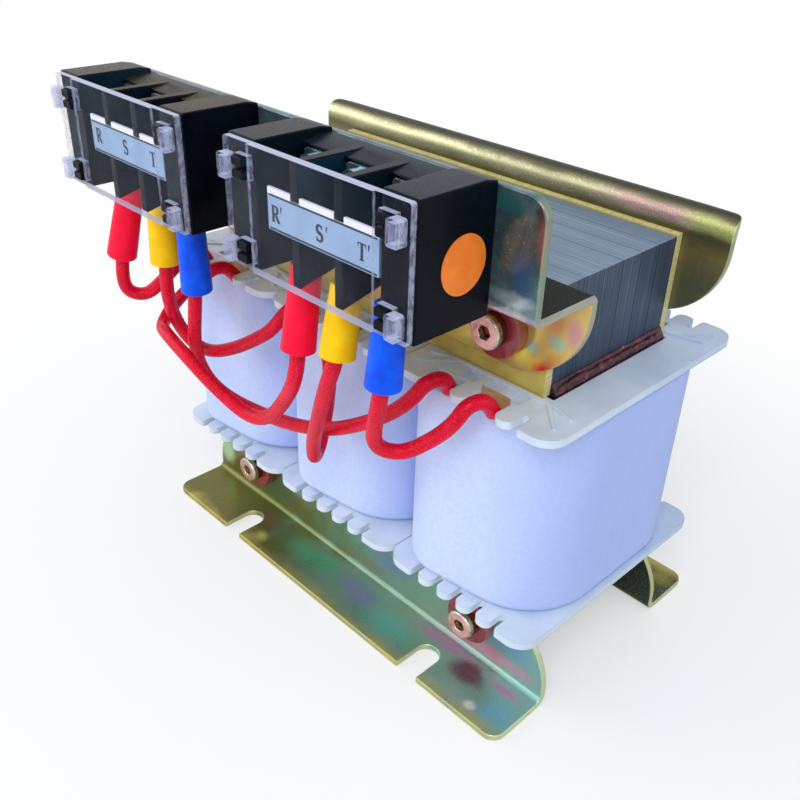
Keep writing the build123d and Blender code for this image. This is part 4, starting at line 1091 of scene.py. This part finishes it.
def glyph_strokes(letter):
    """Strokes of a serif capital of height 1, as (points, widths)."""
    if letter == "R":
        bowl = arc((0.34, 0.74), (0.24, 0.23), 90, -90)
        return [([(0.16, 0.0), (0.16, 1.0)], [THICK, THICK]),
                ([(0.03, 0.03), (0.29, 0.03)], [THIN, THIN]),
                ([(0.03, 0.97), (0.34, 0.97)], [THIN, THIN]),
                (bowl, swell(len(bowl))),
                ([(0.20, 0.51), (0.34, 0.51)], [THIN, THIN]),
                ([(0.36, 0.51), (0.66, 0.03)], [THICK * 0.9, THICK]),
                ([(0.58, 0.03), (0.80, 0.03)], [THIN, THIN])]
    if letter == "S":
        upper = arc((0.30, 0.74), (0.22, 0.23), 35, 250)
        lower = arc((0.30, 0.27), (0.24, 0.24), 70, -145)
        curve = upper + lower
        return [(curve, swell(len(curve), THIN, THICK * 1.1)),
                ([(0.50, 0.99), (0.50, 0.74)], [THIN, THIN * 0.6]),
                ([(0.08, 0.28), (0.08, 0.01)], [THIN * 0.6, THIN])]
    return [([(0.36, 0.0), (0.36, 1.0)], [THICK, THICK]),
            ([(0.20, 0.03), (0.52, 0.03)], [THIN, THIN]),
            ([(0.02, 0.96), (0.70, 0.96)], [0.07, 0.07]),
            ([(0.045, 0.98), (0.045, 0.74)], [0.06, 0.02]),
            ([(0.675, 0.98), (0.675, 0.74)], [0.06, 0.02])]


def add_stroke(vertices, faces, corners, place, layer):
    """One stroke as a strip of faces on the label's face."""
    first = len(vertices)
    y = LABEL_FACE - LETTER_RISE * (1 + LAYER_STEP * layer)
    for pair in corners:
        for corner in pair:
            vertices.append((place[0] + corner.x * LETTER_HEIGHT, y,
                             place[1] + corner.y * LETTER_HEIGHT))
    for i in range(len(corners) - 1):
        a = first + 2 * i
        faces.append((a, a + 1, a + 3, a + 2))


def make_print(side, ink):
    """The letters and the two lines of one label strip."""
    vertices, faces = [], []
    for word, x, rise in LETTERS[side]:
        place = (x - LETTER_MIDDLE * LETTER_HEIGHT, LETTER_Z + rise - LETTER_HEIGHT / 2)
        strokes = glyph_strokes(word[0])
        if word.endswith("'"):
            strokes.append(([(0.93, 1.04), (0.89, 0.70)], [0.12, 0.05]))
        for layer, (points, widths) in enumerate(strokes):
            add_stroke(vertices, faces, ribbon(points, widths), place, layer)
    low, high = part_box("label_strip_" + side)
    for z in LINE_Z:
        points = [((low[0] + LINE_MARGIN) / LETTER_HEIGHT, z / LETTER_HEIGHT),
                  ((high[0] - LINE_MARGIN) / LETTER_HEIGHT, z / LETTER_HEIGHT)]
        width = LINE_WIDTH / LETTER_HEIGHT
        add_stroke(vertices, faces, ribbon(points, [width, width]), (0, 0), 0)
    mesh = bpy.data.meshes.new("print_" + side)
    mesh.from_pydata(vertices, [], faces)
    mesh.materials.append(ink)
    print_piece = add_object("print_" + side, mesh)
    thicken = print_piece.modifiers.new("thickness", "SOLIDIFY")
    thicken.thickness = LETTER_RISE
    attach(print_piece, "root")


def make_prints():
    ink = ink_finish()
    for side in LETTERS:
        make_print(side, ink)


make_prints()

SIZE["visual"] = [list(corner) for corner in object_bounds()]
